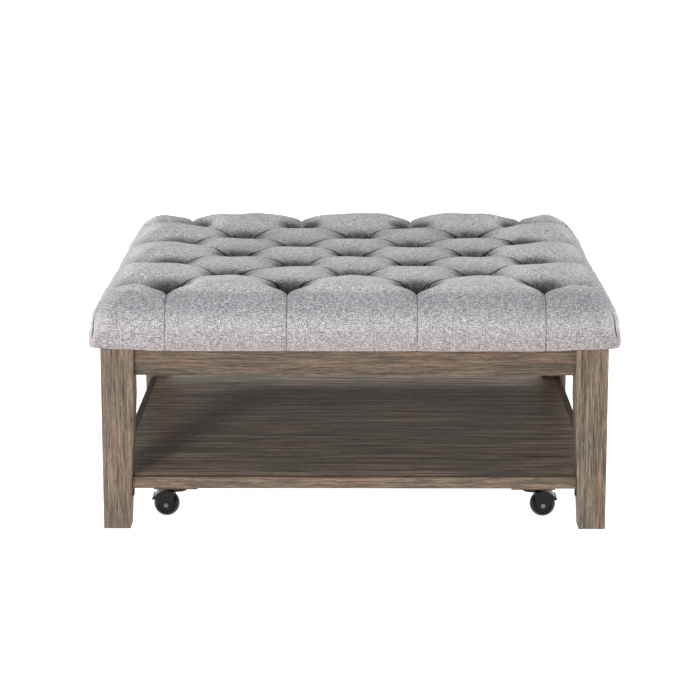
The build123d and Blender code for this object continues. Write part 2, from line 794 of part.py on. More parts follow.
anchor_bottom = deck_underside + anchor_recess - anchor_thickness
with BuildPart() as tuft_twines:
    with BuildSketch(Plane.XY.offset(deck_underside + anchor_recess)):
        with Locations(*tufts):
            Circle(twine_radius)
    extrude(amount=tuft_floor - deck_underside - anchor_recess)
save(tuft_twines.part, "tuft_twines")

with BuildPart() as twine_anchors:
    with BuildSketch(Plane.XY.offset(anchor_bottom)):
        with Locations(*tufts):
            Circle(anchor_radius)
    extrude(amount=anchor_thickness)
save(twine_anchors.part, "twine_anchors")

# Dust cover: closes the underside of the deck inside the turned-in cloth
with BuildPart() as dust_cover:
    with BuildSketch(Plane.XY.offset(frame_top)):
        Rectangle(
            2 * (top_half_x - cover_turn_in - seat_gap),
            2 * (top_half_y - cover_turn_in - seat_gap),
        )
    extrude(amount=cover_cloth)
    add(top_screw_holes, mode=Mode.SUBTRACT)
save(dust_cover.part, "dust_cover")
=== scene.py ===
from math import cos, pi, radians, sin, sqrt

import bpy
import numpy as np
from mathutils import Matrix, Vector


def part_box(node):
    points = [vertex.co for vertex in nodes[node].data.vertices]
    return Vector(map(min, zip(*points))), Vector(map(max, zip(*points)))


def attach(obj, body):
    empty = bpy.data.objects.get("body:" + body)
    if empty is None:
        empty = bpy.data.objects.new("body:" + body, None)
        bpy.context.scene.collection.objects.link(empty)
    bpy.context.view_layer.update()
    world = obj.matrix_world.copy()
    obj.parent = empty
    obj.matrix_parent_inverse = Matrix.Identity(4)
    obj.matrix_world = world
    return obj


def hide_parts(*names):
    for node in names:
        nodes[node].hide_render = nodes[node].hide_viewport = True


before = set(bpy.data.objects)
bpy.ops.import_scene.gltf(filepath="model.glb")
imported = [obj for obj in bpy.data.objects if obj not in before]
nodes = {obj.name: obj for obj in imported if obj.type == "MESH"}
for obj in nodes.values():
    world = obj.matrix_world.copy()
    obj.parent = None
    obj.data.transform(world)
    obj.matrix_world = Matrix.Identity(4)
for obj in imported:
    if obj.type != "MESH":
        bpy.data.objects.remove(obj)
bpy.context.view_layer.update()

# Sizes are in metres. Most of them come from the CAD pieces. FAR is farther off than any fold.
MM = 0.001
SEED = 7
FAR = 1.0
TINY = 1e-9
cover_low, cover_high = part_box("tufted_cover")
buttons_low, buttons_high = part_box("tuft_buttons")
dust_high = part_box("dust_cover")[1]
foam_low, foam_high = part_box("foam_pad")

# Camera: in front of the table and above it, a little to the right of its middle
CAMERA_PLACE = Vector((0.015, -4.569, 1.193))
CAMERA_DOWN = radians(11.77)
CAMERA_LEFT = radians(0.32)
CAMERA_LENS = 120.3

# Lights: azimuth from the front towards the right, elevation, distance, size and power
KEY_LIGHT = (radians(-21), radians(14), 4.6, 0.6, 71)
TOP_LIGHT = (radians(0), radians(68), 1.6, 0.9, 11.5)
LEFT_LIGHT = (radians(-105), radians(4), 5.0, 0.8, 290)
RIGHT_LIGHT = (radians(100), radians(4), 5.0, 0.8, 200)
REAR_LIGHT = (radians(176), radians(58), 10.0, 4.6, 340)
LIGHT_TARGET = Vector((0, 0, 0.3))

# Floor and world: each glow fades from the horizon up to the sine of a height in the sky
FLOOR_SIZE = 120
FLOOR_COLOUR = (0.5, 0.5, 0.5, 1)
FLOOR_ROUGHNESS = 0.9
FLOOR_GLOW = 1.13
WORLD_GLOW = 0.1
HORIZON_GLOW = 0.58
HORIZON_SINE = 0.42
HAZE_GLOW = 0.6
HAZE_SINE = 0.14

# Covered buttons: the profile is in shares of the radius and of the height, from the base up
BUTTON_SIDES = 24
BUTTON_TUCKS = 8
BUTTON_TUCK = 0.03
BUTTON_TUCK_START = 0.85
BUTTON_PROFILE = [(0.88, 0.02), (0.96, 0.14), (0.97, 0.32), (0.88, 0.6)]
BUTTON_PROFILE += [(0.66, 0.84), (0.36, 0.96), (0.1, 0.99)]

# Cloth: colours are linear, and what has a count is in features a metre
YARN_PITCH = 1.7 * MM
YARN_JUMP = 3.7
WEFT_APART = 9.0
SLUBS_PER_METRE = 95
FLECKS_PER_METRE = 620
CLOUDS_PER_METRE = 90
YARN_SHARE = 0.3
FLECK_SHARE = 0.5
LONG_FLECK_SHARE = 0.2
CLOTH_TONES = [(0.385, (0.09, 0.09, 0.098)), (0.5, (0.455, 0.441, 0.455)), (0.615, (0.9, 0.88, 0.89))]
CLOTH_CLOUDS = [(0.32, (0.9, 0.9, 0.905)), (0.68, (1.04, 1.04, 1.04))]
CLOTH_GLOSS = (0.82, 0.96)
CLOTH_SHEEN = 0.05
CLOTH_SPECULAR = 0.25
YARN_RELIEF = 0.5
FLECK_RELIEF = 0.8
CLOTH_RELIEF = 0.5 * MM
CLOTH_RELIEF_STRENGTH = 0.75
# Even painted shade on the buttons, which sit down in the wells
BUTTON_PAINTED_SHADE = (0.8, 0.8, 0.8)

# Painted shade on the cloth: darker and pinker low on the sides and a darker band under the shoulder, by
# height; dark lines in the folds and dark wells round the tufts, by distance
# Painted shade low on the sides, darker and pinker, standing in for shade and the floor's warm bounce
# light; it fades out LOW_SIDE_RISE above the side's top
LOW_SIDE_PAINTED_SHADE = (0.79, 0.727, 0.71)
LOW_SIDE_RISE = 30 * MM
# A painted darker band of shade under the shoulder: its tint, where it fades in above its foot, and where
# it fades out at its top
PAINTED_BAND_SHADE = (0.7, 0.71, 0.72)
SHADE_BAND_FOOT = (0.376, 0.424)
SHADE_BAND_TOP = (0.434, 0.447, 1.0, 0.0)
# Painted dark shade lines in the creases, beside the flaps and in the corner folds: their darkness, and for
# each the width where it starts to fade and where it is gone
PAINTED_LINE_DARKNESS = 0.93
CREASE_SHADE_LINE = (1.1 * MM, 4.0 * MM)
FLAP_SHADE_LINE = (0.5 * MM, 2.3 * MM)
CORNER_SHADE_LINE = (1.0 * MM, 3.6 * MM)
# Painted shade in the wells round the tufts: the brightness at WELL_SHADE_START, full brightness from
# WELL_SHADE_REACH on
WELL_PAINTED_BRIGHTNESS = 0.15
WELL_SHADE_START = 22 * MM
WELL_SHADE_REACH = 57 * MM

# Wood: a grain has its counts a metre along and across
GRAIN_SWAY = 0.012
SWAY_GRAIN = (2.2, 9)
WOOD_GRAIN = (13, 380)
SHELF_GRAIN = (5, 105)
PORE_GRAIN = (60, 900)
PATCH_GRAIN = (5, 60)
CHIP_GRAIN = (85, 420)
GRAIN_SHARE = 0.75
PORE_SHARE = 0.25
PORE_SHADE = (0.3, 0.42, 0.55, 1.0)
CHIP_START = (0.66, 0.8)
SPECK_COLOUR = (0.34, 0.27, 0.21)
WOOD_TONES = [(0.35, (0.04, 0.025, 0.016)), (0.49, (0.152, 0.106, 0.072)), (0.63, (0.315, 0.238, 0.17))]
WARM_TINTS = [(0.34, (1.16, 0.98, 0.9)), (0.5, (1.0, 1.0, 1.0)), (0.66, (0.82, 0.86, 0.8))]
COOL_TINTS = [(0.32, (1.0, 0.95, 0.86)), (0.5, (0.97, 1.0, 0.98)), (0.68, (0.86, 0.96, 1.0))]
RAIL_TINTS = [(0.34, (1.3, 1.06, 0.98)), (0.5, (1.0, 1.0, 0.94)), (0.66, (0.7, 0.76, 0.64))]
SHELF_TONES = [(0.4, (0.1, 0.079, 0.06)), (0.5, (0.335, 0.27, 0.217)), (0.6, (0.68, 0.58, 0.49))]
HIDDEN_TONES = [(0.3, (0.3, 0.2, 0.11)), (0.5, (0.48, 0.34, 0.2)), (0.7, (0.6, 0.45, 0.29))]
WOOD_GLOSS = (0.5, 0.72)
SHELF_GLOSS = (0.42, 0.6)
WOOD_RELIEF = 0.9 * MM

# Finishes of the wood: tones, tints, strength of the pale specks, and brightness
LEFT_LEG_WOOD = (WOOD_TONES, WARM_TINTS, 1.0, 1.0)
RIGHT_LEG_WOOD = (WOOD_TONES, COOL_TINTS, 1.0, 1.0)
RAIL_WOOD = (WOOD_TONES, RAIL_TINTS, 0.7, 0.7)
EDGE_WOOD = (WOOD_TONES, WARM_TINTS, 1.0, 0.92)
SHELF_WOOD = (SHELF_TONES, RAIL_TINTS, 0.25, 1.0)
HIDDEN_WOOD = (HIDDEN_TONES, RAIL_TINTS, 0.0, 1.0)
BLOCK_WOOD = (WOOD_TONES, WARM_TINTS, 0.2, 0.5)

# Each piece shows its own stretch of grain: the step from one to the next, and where the first one is
LEG_STRETCH = ((1.7, 2.3, 0.9), (0.31, 0, 0))
RAIL_STRETCH = ((3.1, 1.9, 5.2), (0, 0.6, 0))
EDGE_STRETCH = ((2.7, 4.1, 1.3), (8, 0, 0))
SHELF_OFFSET = (12.0, 7.0, 3.0)
HIDDEN_OFFSET = (20.0, 3.0, 1.0)
BLOCK_OFFSET = (24.0, 5.0, 2.0)

# Plywood, foam and the unseen cloth
PLYWOOD_TONES = [(0.3, (0.3, 0.2, 0.11)), (0.5, (0.5, 0.36, 0.21)), (0.7, (0.64, 0.49, 0.31))]
PLY_THICKNESS = 3 * MM
PLY_CONTRAST = 0.1
VENEER_GRAIN = (8, 160)
FOAM_TONES = [(0.1, (0.5, 0.42, 0.26)), (0.7, (0.8, 0.72, 0.5))]
FOAM_CELLS_PER_METRE = 650.0
DUST_TONES = [(0.3, (0.012, 0.012, 0.013)), (0.7, (0.05, 0.05, 0.052))]
DUST_FIBRES = (420, 420, 420)
DIMPLE_PITCH = 2.4 * MM
TWINE_TONES = [(0.3, (0.5, 0.44, 0.32)), (0.7, (0.78, 0.72, 0.58))]
TWINE_FIBRES = (1200, 1200, 300)
TWIST_PITCH = 2 * MM

# Metal and plastic. Where a roughness follows a noise, it does so over the noise's middle values.
NOISE_MIDDLE = (0.3, 0.7)
BLACK_TONES = [(0.35, (0.002, 0.002, 0.003)), (0.65, (0.008, 0.008, 0.007))]
BRACKET_TONES = [(0.35, (0.015, 0.015, 0.016)), (0.65, (0.05, 0.048, 0.045))]
BRIGHT_TONES = [(0.35, (0.1, 0.1, 0.1)), (0.65, (0.17, 0.165, 0.16))]
ZINC_TONES = [(0.35, (0.42, 0.42, 0.41)), (0.65, (0.62, 0.61, 0.58))]
WIDE_SPECKS = 12
CORNERS = ("front_left", "front_right", "rear_left", "rear_right")
SIDE_AXES = {"front": 0, "rear": 0, "left": 1, "right": 1}
BLACK_NODES = ("shelf_bracket", "caster_plate")
ZINC_NODES = ("corner_block_screws", "caster_block_screws", "top_fixing_screws", "hanger", "caster_kingpin")

# Tufted cover: its profile from the crest over the shoulder and down the side to the hem
BOTTOM_RADIUS = 8 * MM
CORNER_RADIUS = 58 * MM
CREST_CORNER_RADIUS = 40 * MM
HEM_CORNER_RADIUS = 26 * MM
HEM_CORNER_TUCK = 0.3
SHARPEST_CORNER = 0.001 * MM
CORNER_FOLD_TURN = radians(31)
CORNER_FOLD_DEPTH = 3 * MM
CORNER_FOLD_WIDTH = 9 * MM
SIDE_BELLY = 1.5 * MM
UNDERSIDE_LIFT = 0.2 * MM
SHOULDER_RINGS = 34
SIDE_RINGS = 7
ROLL_RINGS = 5
UNDER_RINGS = 4

# Foam core: every few points of the cover, set in from it and open under each tuft
CORE_STRIDE = 4
CORE_RING_STRIDE = 5
CORE_INSET = 11 * MM
CORE_HOLE = 46 * MM

# Tufts: the cloth's flat top is a grid of cells, with a tuft at every second step
BUTTON_RADIUS = 10 * MM
TUFT_REACH = 3
CELLS_PER_STEP = 30
FLAT_CELLS = 101
TUFT_SHIFT = 2.5 * MM
SHIFT_REACH = 55 * MM
SIDE_TUFT_INSET = 4 * MM

# Sideways shift of each tuft in millimetres, row by row from the front, set from the photo
ROW_SHIFTS_MM = [
    (13, -4, -5, -10),
    (-10, -5, -6),
    (-6, 0, -10, -2),
    (0, -6, -2),
    (-9, -4, -6, -10),
    (0, 5, 0),
    (0, 0, 0, 0),
]

# Wells and creases
WELL_REACH = 107 * MM
WALL_START = 12 * MM
WALL_END = 36 * MM
BOWL_SHARE = 0.42
BOWL_POWER = 2.3
CREASE_DEPTH = 6 * MM
CREASE_GROOVE = 12 * MM
SADDLE_GROOVE = 3 * MM
CREASE_WIDTH = 18 * MM
CREASE_PULL = 1.35
JOIN_POWER = 4
# Darkness of the painted shade line in a crease half way between tufts
SADDLE_LINE_SHADE = 0.45
GATHER_DEPTH = 1.7 * MM
GATHER_WAVES = ((13, 1.0), (7, 0.6))
GATHER_REACH = 60 * MM
LUMP_HEIGHT = 1.1 * MM
LUMP_WAVES = 9
LUMP_LENGTHS = (0.06, 0.19)

# The flap of doubled cloth beside each crease, by the distance from the crease
FOLD_WIDTH = 7 * MM
FOLD_HEIGHT = 2.9 * MM
FLAP_RISE = (0.5 * MM, 3 * MM)
FLAP_FALL = (FOLD_WIDTH - 1 * MM, FOLD_WIDTH + 1.2 * MM)
FLAP_EDGE = FOLD_WIDTH + 1.5 * MM
FLAP_EDGE_WIDTH = 2 * MM
FLAP_EDGE_SHARE = 0.6

# The dish of the top, and how the front half of each side leans in
INNER_DIP = 12 * MM
REAR_EXTRA_DIP = 2 * MM
FRONT_BORDER_DIP = 5 * MM
REAR_BORDER_DIP = 1 * MM
DIP_START = 0.24
SIDE_SLOPE = 4 * MM
LOW_SIDE_TUCK = 3 * MM

# Stretches over which a form comes or goes, by the distance from the nearest tuft
SADDLE_START = (22 * MM, 72 * MM)
# FAINT_LINE: over what distance the painted shade line in a crease grows faint
FAINT_LINE = (26 * MM, 78 * MM)
LUMPS_START = (14 * MM, 40 * MM)
FLAP_START = (12 * MM, 24 * MM)
FLAP_END = (45 * MM, 78 * MM)
GATHER_START = (11 * MM, 19 * MM)
GATHER_END = (26 * MM, 50 * MM)

# Stretches from the front to the rear
REARWARD = (-0.1, 0.25)
BORDER_CHANGE = (-0.38, 0.3)
REAR_HALF = (0.0, 0.4)

tuft_reach = buttons_high.x - BUTTON_RADIUS
tuft_step = tuft_reach / TUFT_REACH
cell = tuft_step / CELLS_PER_STEP
flat_half = FLAT_CELLS * cell
shoulder_radius = cover_high.x - flat_half
corner_stretch = flat_half - tuft_reach
crease_spacing = tuft_step * sqrt(2)
crest = cover_high.z
well_depth = crest - buttons_low.z
chance = np.random.default_rng(SEED)

# Arc lengths from the middle of the top at which the profile changes its form
side_top = crest - shoulder_radius
side_bottom = cover_low.z + BOTTOM_RADIUS
shoulder_end = flat_half + shoulder_radius * pi / 2
side_end = shoulder_end + side_top - side_bottom
roll_end = side_end + BOTTOM_RADIUS * pi / 2
under_half = cover_high.x - BOTTOM_RADIUS
hem_end = roll_end + under_half - dust_high.x
corner_start = tuft_reach + 4 * MM
shoulder_middle = flat_half + 50 * MM
pleat_fade_end = flat_half + 95 * MM

# Stretches by that arc length, by the place across or deep, or by height
corner_growth = (corner_start, flat_half + 10 * MM)
crease_pull_end = (tuft_reach - 20 * MM, tuft_reach + 3 * MM)
diamonds_end = (tuft_reach, tuft_reach + 80 * MM)
pleat_start = (tuft_reach, tuft_reach + 15 * MM)
pleat_share_end = (shoulder_middle, pleat_fade_end)
corner_fold_start = (flat_half + 40 * MM, shoulder_end)
corner_shade_top = (side_top + 5 * MM, side_top + 50 * MM)
lumps_end = (side_end - 10 * MM, roll_end)
dish_end = (flat_half, flat_half + 80 * MM)
hip_start = (flat_half - 40 * MM, flat_half + 35 * MM)
hip_end = (flat_half + 75 * MM, flat_half + 135 * MM)
low_side_start = (flat_half + 60 * MM, shoulder_end + 25 * MM)
behind_front_tufts = (-tuft_reach - 10 * MM, -tuft_reach + 30 * MM)
rear_tufts = (tuft_reach - 20 * MM, tuft_reach + 5 * MM)

# Pleats from the outer tufts to the hem: each list runs along its stops
PLEAT_STOPS = [tuft_reach, flat_half, shoulder_middle, pleat_fade_end, side_end, roll_end]
PLEAT_DEPTHS = [20 * MM, 20 * MM, 9 * MM, 1.5 * MM, 0.8 * MM, 0.4 * MM]
PLEAT_WIDTHS = [83 * MM, 78 * MM, 62 * MM, 40 * MM, 30 * MM, 30 * MM]
PLEAT_GROOVES = [11 * MM, 9 * MM, 4 * MM, 1.1 * MM, 0.8 * MM, 0.7 * MM]
PLEAT_GROOVE_WIDTHS = [20 * MM, 20 * MM, 14 * MM, 7 * MM, 6 * MM, 6 * MM]
# Painted shade lines in the pleats: their darkness along the line stops, how much thinner they are than on
# the top, and how much fainter in the rear
PLEAT_LINE_STOPS = [tuft_reach, flat_half, shoulder_middle, side_end]
PLEAT_LINE_SHADES = [0.9, 0.8, 0.62, 0.5]
PLEAT_THINNESS = 2.4
FRONT_PLEAT_SHARE = 1.15
OTHER_PLEAT_SHARE = 0.95
REAR_LINE_LOSS = 0.7


def smooth(low, high, value):
    """0 below low, 1 above high and a smooth step between them."""
    share = np.clip((value - low) / (high - low), 0, 1)
    return share * share * (3 - 2 * share)


def profile(reach):
    """Half size, height and tilt of the ring at an arc length from the middle of the top."""
    over = np.clip(reach - flat_half, 0, shoulder_end - flat_half) / shoulder_radius
    down = np.clip(reach - shoulder_end, 0, side_end - shoulder_end)
    roll = np.clip(reach - side_end, 0, roll_end - side_end) / BOTTOM_RADIUS
    under = np.clip(reach - roll_end, 0, None)
    belly = SIDE_BELLY * np.sin(pi * down / (side_end - shoulder_end))
    half = np.minimum(reach, flat_half) + shoulder_radius * np.sin(over) + belly
    half = half - BOTTOM_RADIUS * (1 - np.cos(roll)) - under
    height = crest - shoulder_radius * (1 - np.cos(over)) - down - BOTTOM_RADIUS * np.sin(roll)
    tilt = over + roll
    return half, height, tilt


def corner_radius(reach):
    """Corner radius of the ring: sharp among the tufts, round on the shoulder, squarer at the hem."""
    grown = CREST_CORNER_RADIUS * smooth(*corner_growth, reach)
    full = (CORNER_RADIUS - CREST_CORNER_RADIUS) * smooth(flat_half, shoulder_end, reach)
    tucked = np.clip(reach - side_end, 0, None) * HEM_CORNER_TUCK
    squarer = (CORNER_RADIUS - HEM_CORNER_RADIUS) * smooth(shoulder_end, side_end, reach)
    return np.maximum(grown + full - squarer - tucked, SHARPEST_CORNER)


def ring_place(outward, sideways, along, reach):
    """Where a point of the cover lies before it is tufted, its normal and its place on the flat cloth."""
    half, height, tilt = profile(reach)
    radius = np.minimum(corner_radius(reach), half)
    index_half = np.minimum(reach, flat_half)
    stretch = corner_stretch * smooth(corner_start, flat_half, reach)
    straight = index_half - stretch
    end = half - radius + radius * pi / 4
    size = np.abs(along)
    share = np.where(stretch > 0, (size - straight) / np.maximum(stretch, TINY), 0)
    length = np.where(size > straight, straight + share * (end - straight), size)
    length = np.where(stretch > 0, length, size)
    turn = np.clip((length - (half - radius)) / radius, 0, pi / 4)
    side = np.minimum(length, half - radius) + radius * np.sin(turn)
    out = half - radius + radius * np.cos(turn)
    sign = np.sign(along)
    place = outward * out[:, None] + sideways * (sign * side)[:, None]
    flat_normal = outward * np.cos(turn)[:, None] + sideways * (sign * np.sin(turn))[:, None]
    normal = np.column_stack([flat_normal * np.sin(tilt)[:, None], np.cos(tilt)])
    cloth = outward * reach[:, None] + sideways * (sign * length)[:, None]
    on_side_face = np.abs(outward[:, 0]) > 0
    fold_length = half - radius + radius * CORNER_FOLD_TURN
    from_fold = np.where(on_side_face, length - fold_length, FAR)
    return np.column_stack([place, height]), normal, cloth, from_fold


def segment_distance(points, start, end):
    """Distance in the cloth from each point to a straight crease."""
    run = end - start
    share = np.clip(((points - start) @ run) / (run @ run), 0, 1)
    return np.linalg.norm(points - start - share[:, None] * run, axis=1)


def puff(distance, width):
    """How full the cover is at a distance from a crease: 0 in it, 1 from its width on."""
    return np.sqrt(1 - (1 - np.minimum(distance / width, 1)) ** 2)


def swell(distance, width):
    """A softer rise than a puff's, for the broad form of the cushion."""
    return 1 - (1 - np.minimum(distance / width, 1)) ** 2


def tuft_places():
    """Places of the tufts on the flat cloth, rows of four and three by turns."""
    steps = range(-TUFT_REACH, TUFT_REACH + 1)
    spots = [(column, row) for row in steps for column in steps if (column - row) % 2 == 0]
    return [(column * tuft_step, row * tuft_step) for column, row in spots]


def tuft_distance(cloth):
    """Distance in the cloth from each point to the nearest tuft."""
    well = np.full(len(cloth), FAR)
    for place in tuft_places():
        well = np.minimum(well, np.linalg.norm(cloth - np.array(place), axis=1))
    return well


def diagonal_creases():
    """Start and end of each crease line that joins the tufts along a diagonal."""
    lines = []
    for shift in range(-2 * TUFT_REACH + 2, 2 * TUFT_REACH, 2):
        low = max(-TUFT_REACH, -TUFT_REACH - shift)
        high = min(TUFT_REACH, TUFT_REACH - shift)
        lines.append(((low, low + shift), (high, high + shift)))
        lines.append(((low, -low - shift), (high, -high - shift)))
    return [(np.array(a) * tuft_step, np.array(b) * tuft_step) for a, b in lines]


def pleat_lines():
    """Start and end of each pleat, from an outer tuft straight out to the hem."""
    lines = []
    for step in range(-TUFT_REACH, TUFT_REACH + 1, 2):
        for side in (-1, 1):
            lines.append(((step * tuft_step, side * tuft_reach), (step * tuft_step, side * hem_end)))
            lines.append(((side * tuft_reach, step * tuft_step), (side * hem_end, step * tuft_step)))
    return [(np.array(a), np.array(b)) for a, b in lines]


def pull_to_creases(points):
    """Crowds the grid towards the diagonal creases, so that they come out sharp."""
    reach = np.abs(points).max(axis=1)
    fade = 1 - smooth(*crease_pull_end, reach)
    rising = (points[:, 0] + points[:, 1]) / sqrt(2)
    falling = (points[:, 0] - points[:, 1]) / sqrt(2)
    pulled = []
    for value in (rising, falling):
        offset = value - np.round(value / crease_spacing) * crease_spacing
        share = np.abs(offset) / (crease_spacing / 2)
        nearer = np.sign(offset) * share**CREASE_PULL * crease_spacing / 2
        pulled.append(value + (nearer - offset) * fade)
    return np.column_stack([(pulled[0] + pulled[1]) / sqrt(2), (pulled[0] - pulled[1]) / sqrt(2)])


def fold_over(cloth, start, end, well):
    """The doubled cloth beside a crease, towards the rear: its height, and how far its edge is."""
    length = np.linalg.norm(end - start)
    run = (end - start) / length
    across = np.array([-run[1], run[0]])
    across = across * np.sign(across[1])
    offset = (cloth - start) @ across
    along = (cloth - start) @ run
    inside = (along > 0) & (along < length)
    strip = smooth(*FLAP_RISE, offset) * (1 - smooth(*FLAP_FALL, offset))
    edge = np.exp(-(((offset - FLAP_EDGE) / FLAP_EDGE_WIDTH) ** 2))
    strength = smooth(*FLAP_START, well) * (1 - smooth(*FLAP_END, well)) * inside
    height = strength * FOLD_HEIGHT * (strip - FLAP_EDGE_SHARE * edge)
    return height, offset - FOLD_WIDTH, strength


def lumps(cloth):
    """Slow unevenness of the padding: a few waves in seeded directions."""
    height = np.zeros(len(cloth))
    for _ in range(LUMP_WAVES):
        angle = chance.uniform(0, 2 * pi)
        phase = chance.uniform(0, 2 * pi)
        length = chance.uniform(*LUMP_LENGTHS)
        wave = cloth @ np.array([np.cos(angle), np.sin(angle)]) * 2 * pi / length
        height += np.sin(wave + phase)
    return LUMP_HEIGHT * height / sqrt(LUMP_WAVES)


def gathers(cloth, well):
    """Small radial pleats where the cloth runs down into each tuft."""
    height = np.zeros(len(cloth))
    window = smooth(*GATHER_START, well) * (1 - smooth(*GATHER_END, well))
    for place in tuft_places():
        offset = cloth - np.array(place)
        near = np.linalg.norm(offset, axis=1) < GATHER_REACH
        turn = np.arctan2(offset[:, 1], offset[:, 0])
        waves = 0
        for count, share in GATHER_WAVES:
            waves = waves + share * np.sin(count * turn + chance.uniform(0, 2 * pi))
        height += np.where(near, waves, 0)
    return GATHER_DEPTH * height * window


def tuft_shifts():
    """How far each tuft sits from its even place, as hand tufting leaves it."""
    shifts = []
    row_shifts = [value * MM for row in ROW_SHIFTS_MM for value in row]
    for (across, deep), row_shift in zip(tuft_places(), row_shifts):
        shift = chance.uniform(-TUFT_SHIFT, TUFT_SHIFT, 2)
        if abs(across) > tuft_reach - cell:
            shift[0] -= np.sign(across) * SIDE_TUFT_INSET
        if deep < cell - tuft_reach:
            shift[:] = 0
        shifts.append(shift + [row_shift, 0])
    return shifts


def shift_field(cloth, shifts):
    """The cloth follows each shifted tuft, less and less with the distance."""
    moved = np.zeros_like(cloth)
    for place, shift in zip(tuft_places(), shifts):
        tuft = np.array(place)
        in_front = place[1] < cell - tuft_reach
        pleat_end = np.array([place[0], -hem_end]) if in_front else tuft + [0, cell]
        near = segment_distance(cloth, tuft, pleat_end)
        moved += np.exp(-((near / SHIFT_REACH) ** 2))[:, None] * shift
    return moved


def hollow_share(well):
    """1 at a tuft's button, less up its steep wall and over the wide bowl round it."""
    share = np.clip((well - BUTTON_RADIUS) / WELL_REACH, 0, 1)
    wall = 1 - smooth(WALL_START, WALL_END, well)
    return BOWL_SHARE * (1 - share) ** BOWL_POWER + (1 - BOWL_SHARE) * wall


def diamonds(cloth, well, inside):
    """Depth of the diagonal creases, the height of their flaps, and what the shading needs of both."""
    count = len(cloth)
    nearest = np.full(count, FAR)
    flap = np.full(count, FAR)
    flap_strength = np.zeros(count)
    broad = np.ones(count)
    narrow = np.ones(count)
    flaps = np.zeros(count)
    for start, end in diagonal_creases():
        distance = segment_distance(cloth, start, end)
        nearest = np.minimum(nearest, distance)
        broad *= swell(distance, crease_spacing / 2)
        narrow *= puff(distance, CREASE_WIDTH)
        height, offset, strength = fold_over(cloth, start, end, well)
        flaps += height
        closer = (np.abs(offset) < np.abs(flap)) & (strength > 0)
        flap = np.where(closer, offset, flap)
        flap_strength = np.where(closer, strength, flap_strength)
    near_tuft = 1 - smooth(*SADDLE_START, well)
    groove = CREASE_GROOVE * near_tuft + SADDLE_GROOVE * (1 - near_tuft)
    depth = (CREASE_DEPTH * (1 - broad) + groove * (1 - narrow)) * inside
    return depth, flaps, nearest, flap, flap_strength


def pleats(cloth, reach):
    """Depth of the pleats from the outer tufts to the hem, and the distance to the nearest one."""
    count = len(cloth)
    nearest = np.full(count, FAR)
    broad = np.ones(count)
    narrow = np.ones(count)
    broad_depth = np.interp(reach, PLEAT_STOPS, PLEAT_DEPTHS)
    broad_width = np.interp(reach, PLEAT_STOPS, PLEAT_WIDTHS)
    groove = np.interp(reach, PLEAT_STOPS, PLEAT_GROOVES)
    groove_width = np.interp(reach, PLEAT_STOPS, PLEAT_GROOVE_WIDTHS)
    for start, end in pleat_lines():
        distance = segment_distance(cloth, start, end)
        nearest = np.minimum(nearest, distance)
        broad *= swell(distance, broad_width)
        narrow *= puff(distance, groove_width)
    front = 1 - smooth(*behind_front_tufts, cloth[:, 1])
    side_share = OTHER_PLEAT_SHARE + (FRONT_PLEAT_SHARE - OTHER_PLEAT_SHARE) * front
    side_share = 1 + (side_share - 1) * (1 - smooth(*pleat_share_end, reach))
    return (broad_depth * (1 - broad) + groove * (1 - narrow)) * side_share, nearest


def dish(cloth, reach):
    """How far the top lies below its crest, and the front half of each side inside its profile."""
    across = np.abs(cloth[:, 0])
    deep = cloth[:, 1]
    hip = smooth(*hip_start, across) * (1 - smooth(*hip_end, across))
    side_lean = SIDE_SLOPE * hip + LOW_SIDE_TUCK * smooth(*low_side_start, across)
    inner = INNER_DIP + REAR_EXTRA_DIP * smooth(*REARWARD, deep)
    border = FRONT_BORDER_DIP + (REAR_BORDER_DIP - FRONT_BORDER_DIP) * smooth(*BORDER_CHANGE, deep)
    dip = inner + (border - inner) * smooth(DIP_START, flat_half, reach)
    return side_lean * (1 - smooth(*REAR_HALF, deep)) + dip * (1 - smooth(*dish_end, reach))


def painted_line_strength(cloth, reach, well):
    """How dark the painted shade line in a crease is: faint half way between tufts, and less in the rear
    pleats.
    """
    rear = smooth(*rear_tufts, cloth[:, 1])
    pleat_line = np.interp(reach, PLEAT_LINE_STOPS, PLEAT_LINE_SHADES) * (1 - REAR_LINE_LOSS * rear)
    saddle_line = SADDLE_LINE_SHADE + (1 - SADDLE_LINE_SHADE) * (1 - smooth(*FAINT_LINE, well))
    return saddle_line + (pleat_line - saddle_line) * smooth(*pleat_start, reach)


def tufting(cloth, from_fold):
    """How far the cover is drawn in at each point, and where the point lies in the folds."""
    reach = np.abs(cloth).max(axis=1)
    well = tuft_distance(cloth)
    inside = 1 - smooth(*diamonds_end, reach)
    diagonal, flaps, from_crease, flap, flap_strength = diamonds(cloth, well, inside)
    pleat, from_pleat = pleats(cloth, reach)
    fold = CORNER_FOLD_DEPTH * (1 - puff(np.abs(from_fold), CORNER_FOLD_WIDTH))
    corner = fold * smooth(*corner_fold_start, reach)
    joined = diagonal**JOIN_POWER + pleat**JOIN_POWER + corner**JOIN_POWER
    depth = joined ** (1 / JOIN_POWER) - flaps + dish(cloth, reach)
    depth = depth + (well_depth - depth) * hollow_share(well)
    padded = smooth(*LUMPS_START, well) * (1 - smooth(*lumps_end, reach))
    depth = depth + gathers(cloth, well) * inside - lumps(cloth) * padded
    return depth, {
        "crease_distance": np.minimum(from_crease, from_pleat * PLEAT_THINNESS),
        "tuft_distance": well,
        # How dark the painted shade line in each crease is
        "crease_shade_strength": painted_line_strength(cloth, reach, well),
        "flap_offset": flap,
        "flap_strength": flap_strength,
        "corner_offset": from_fold,
    }


def grid_points():
    """The flat top as a square grid of places."""
    steps = np.arange(-FLAT_CELLS, FLAT_CELLS + 1) * cell
    across, deep = np.meshgrid(steps, steps)
    return np.column_stack([across.ravel(), deep.ravel()])


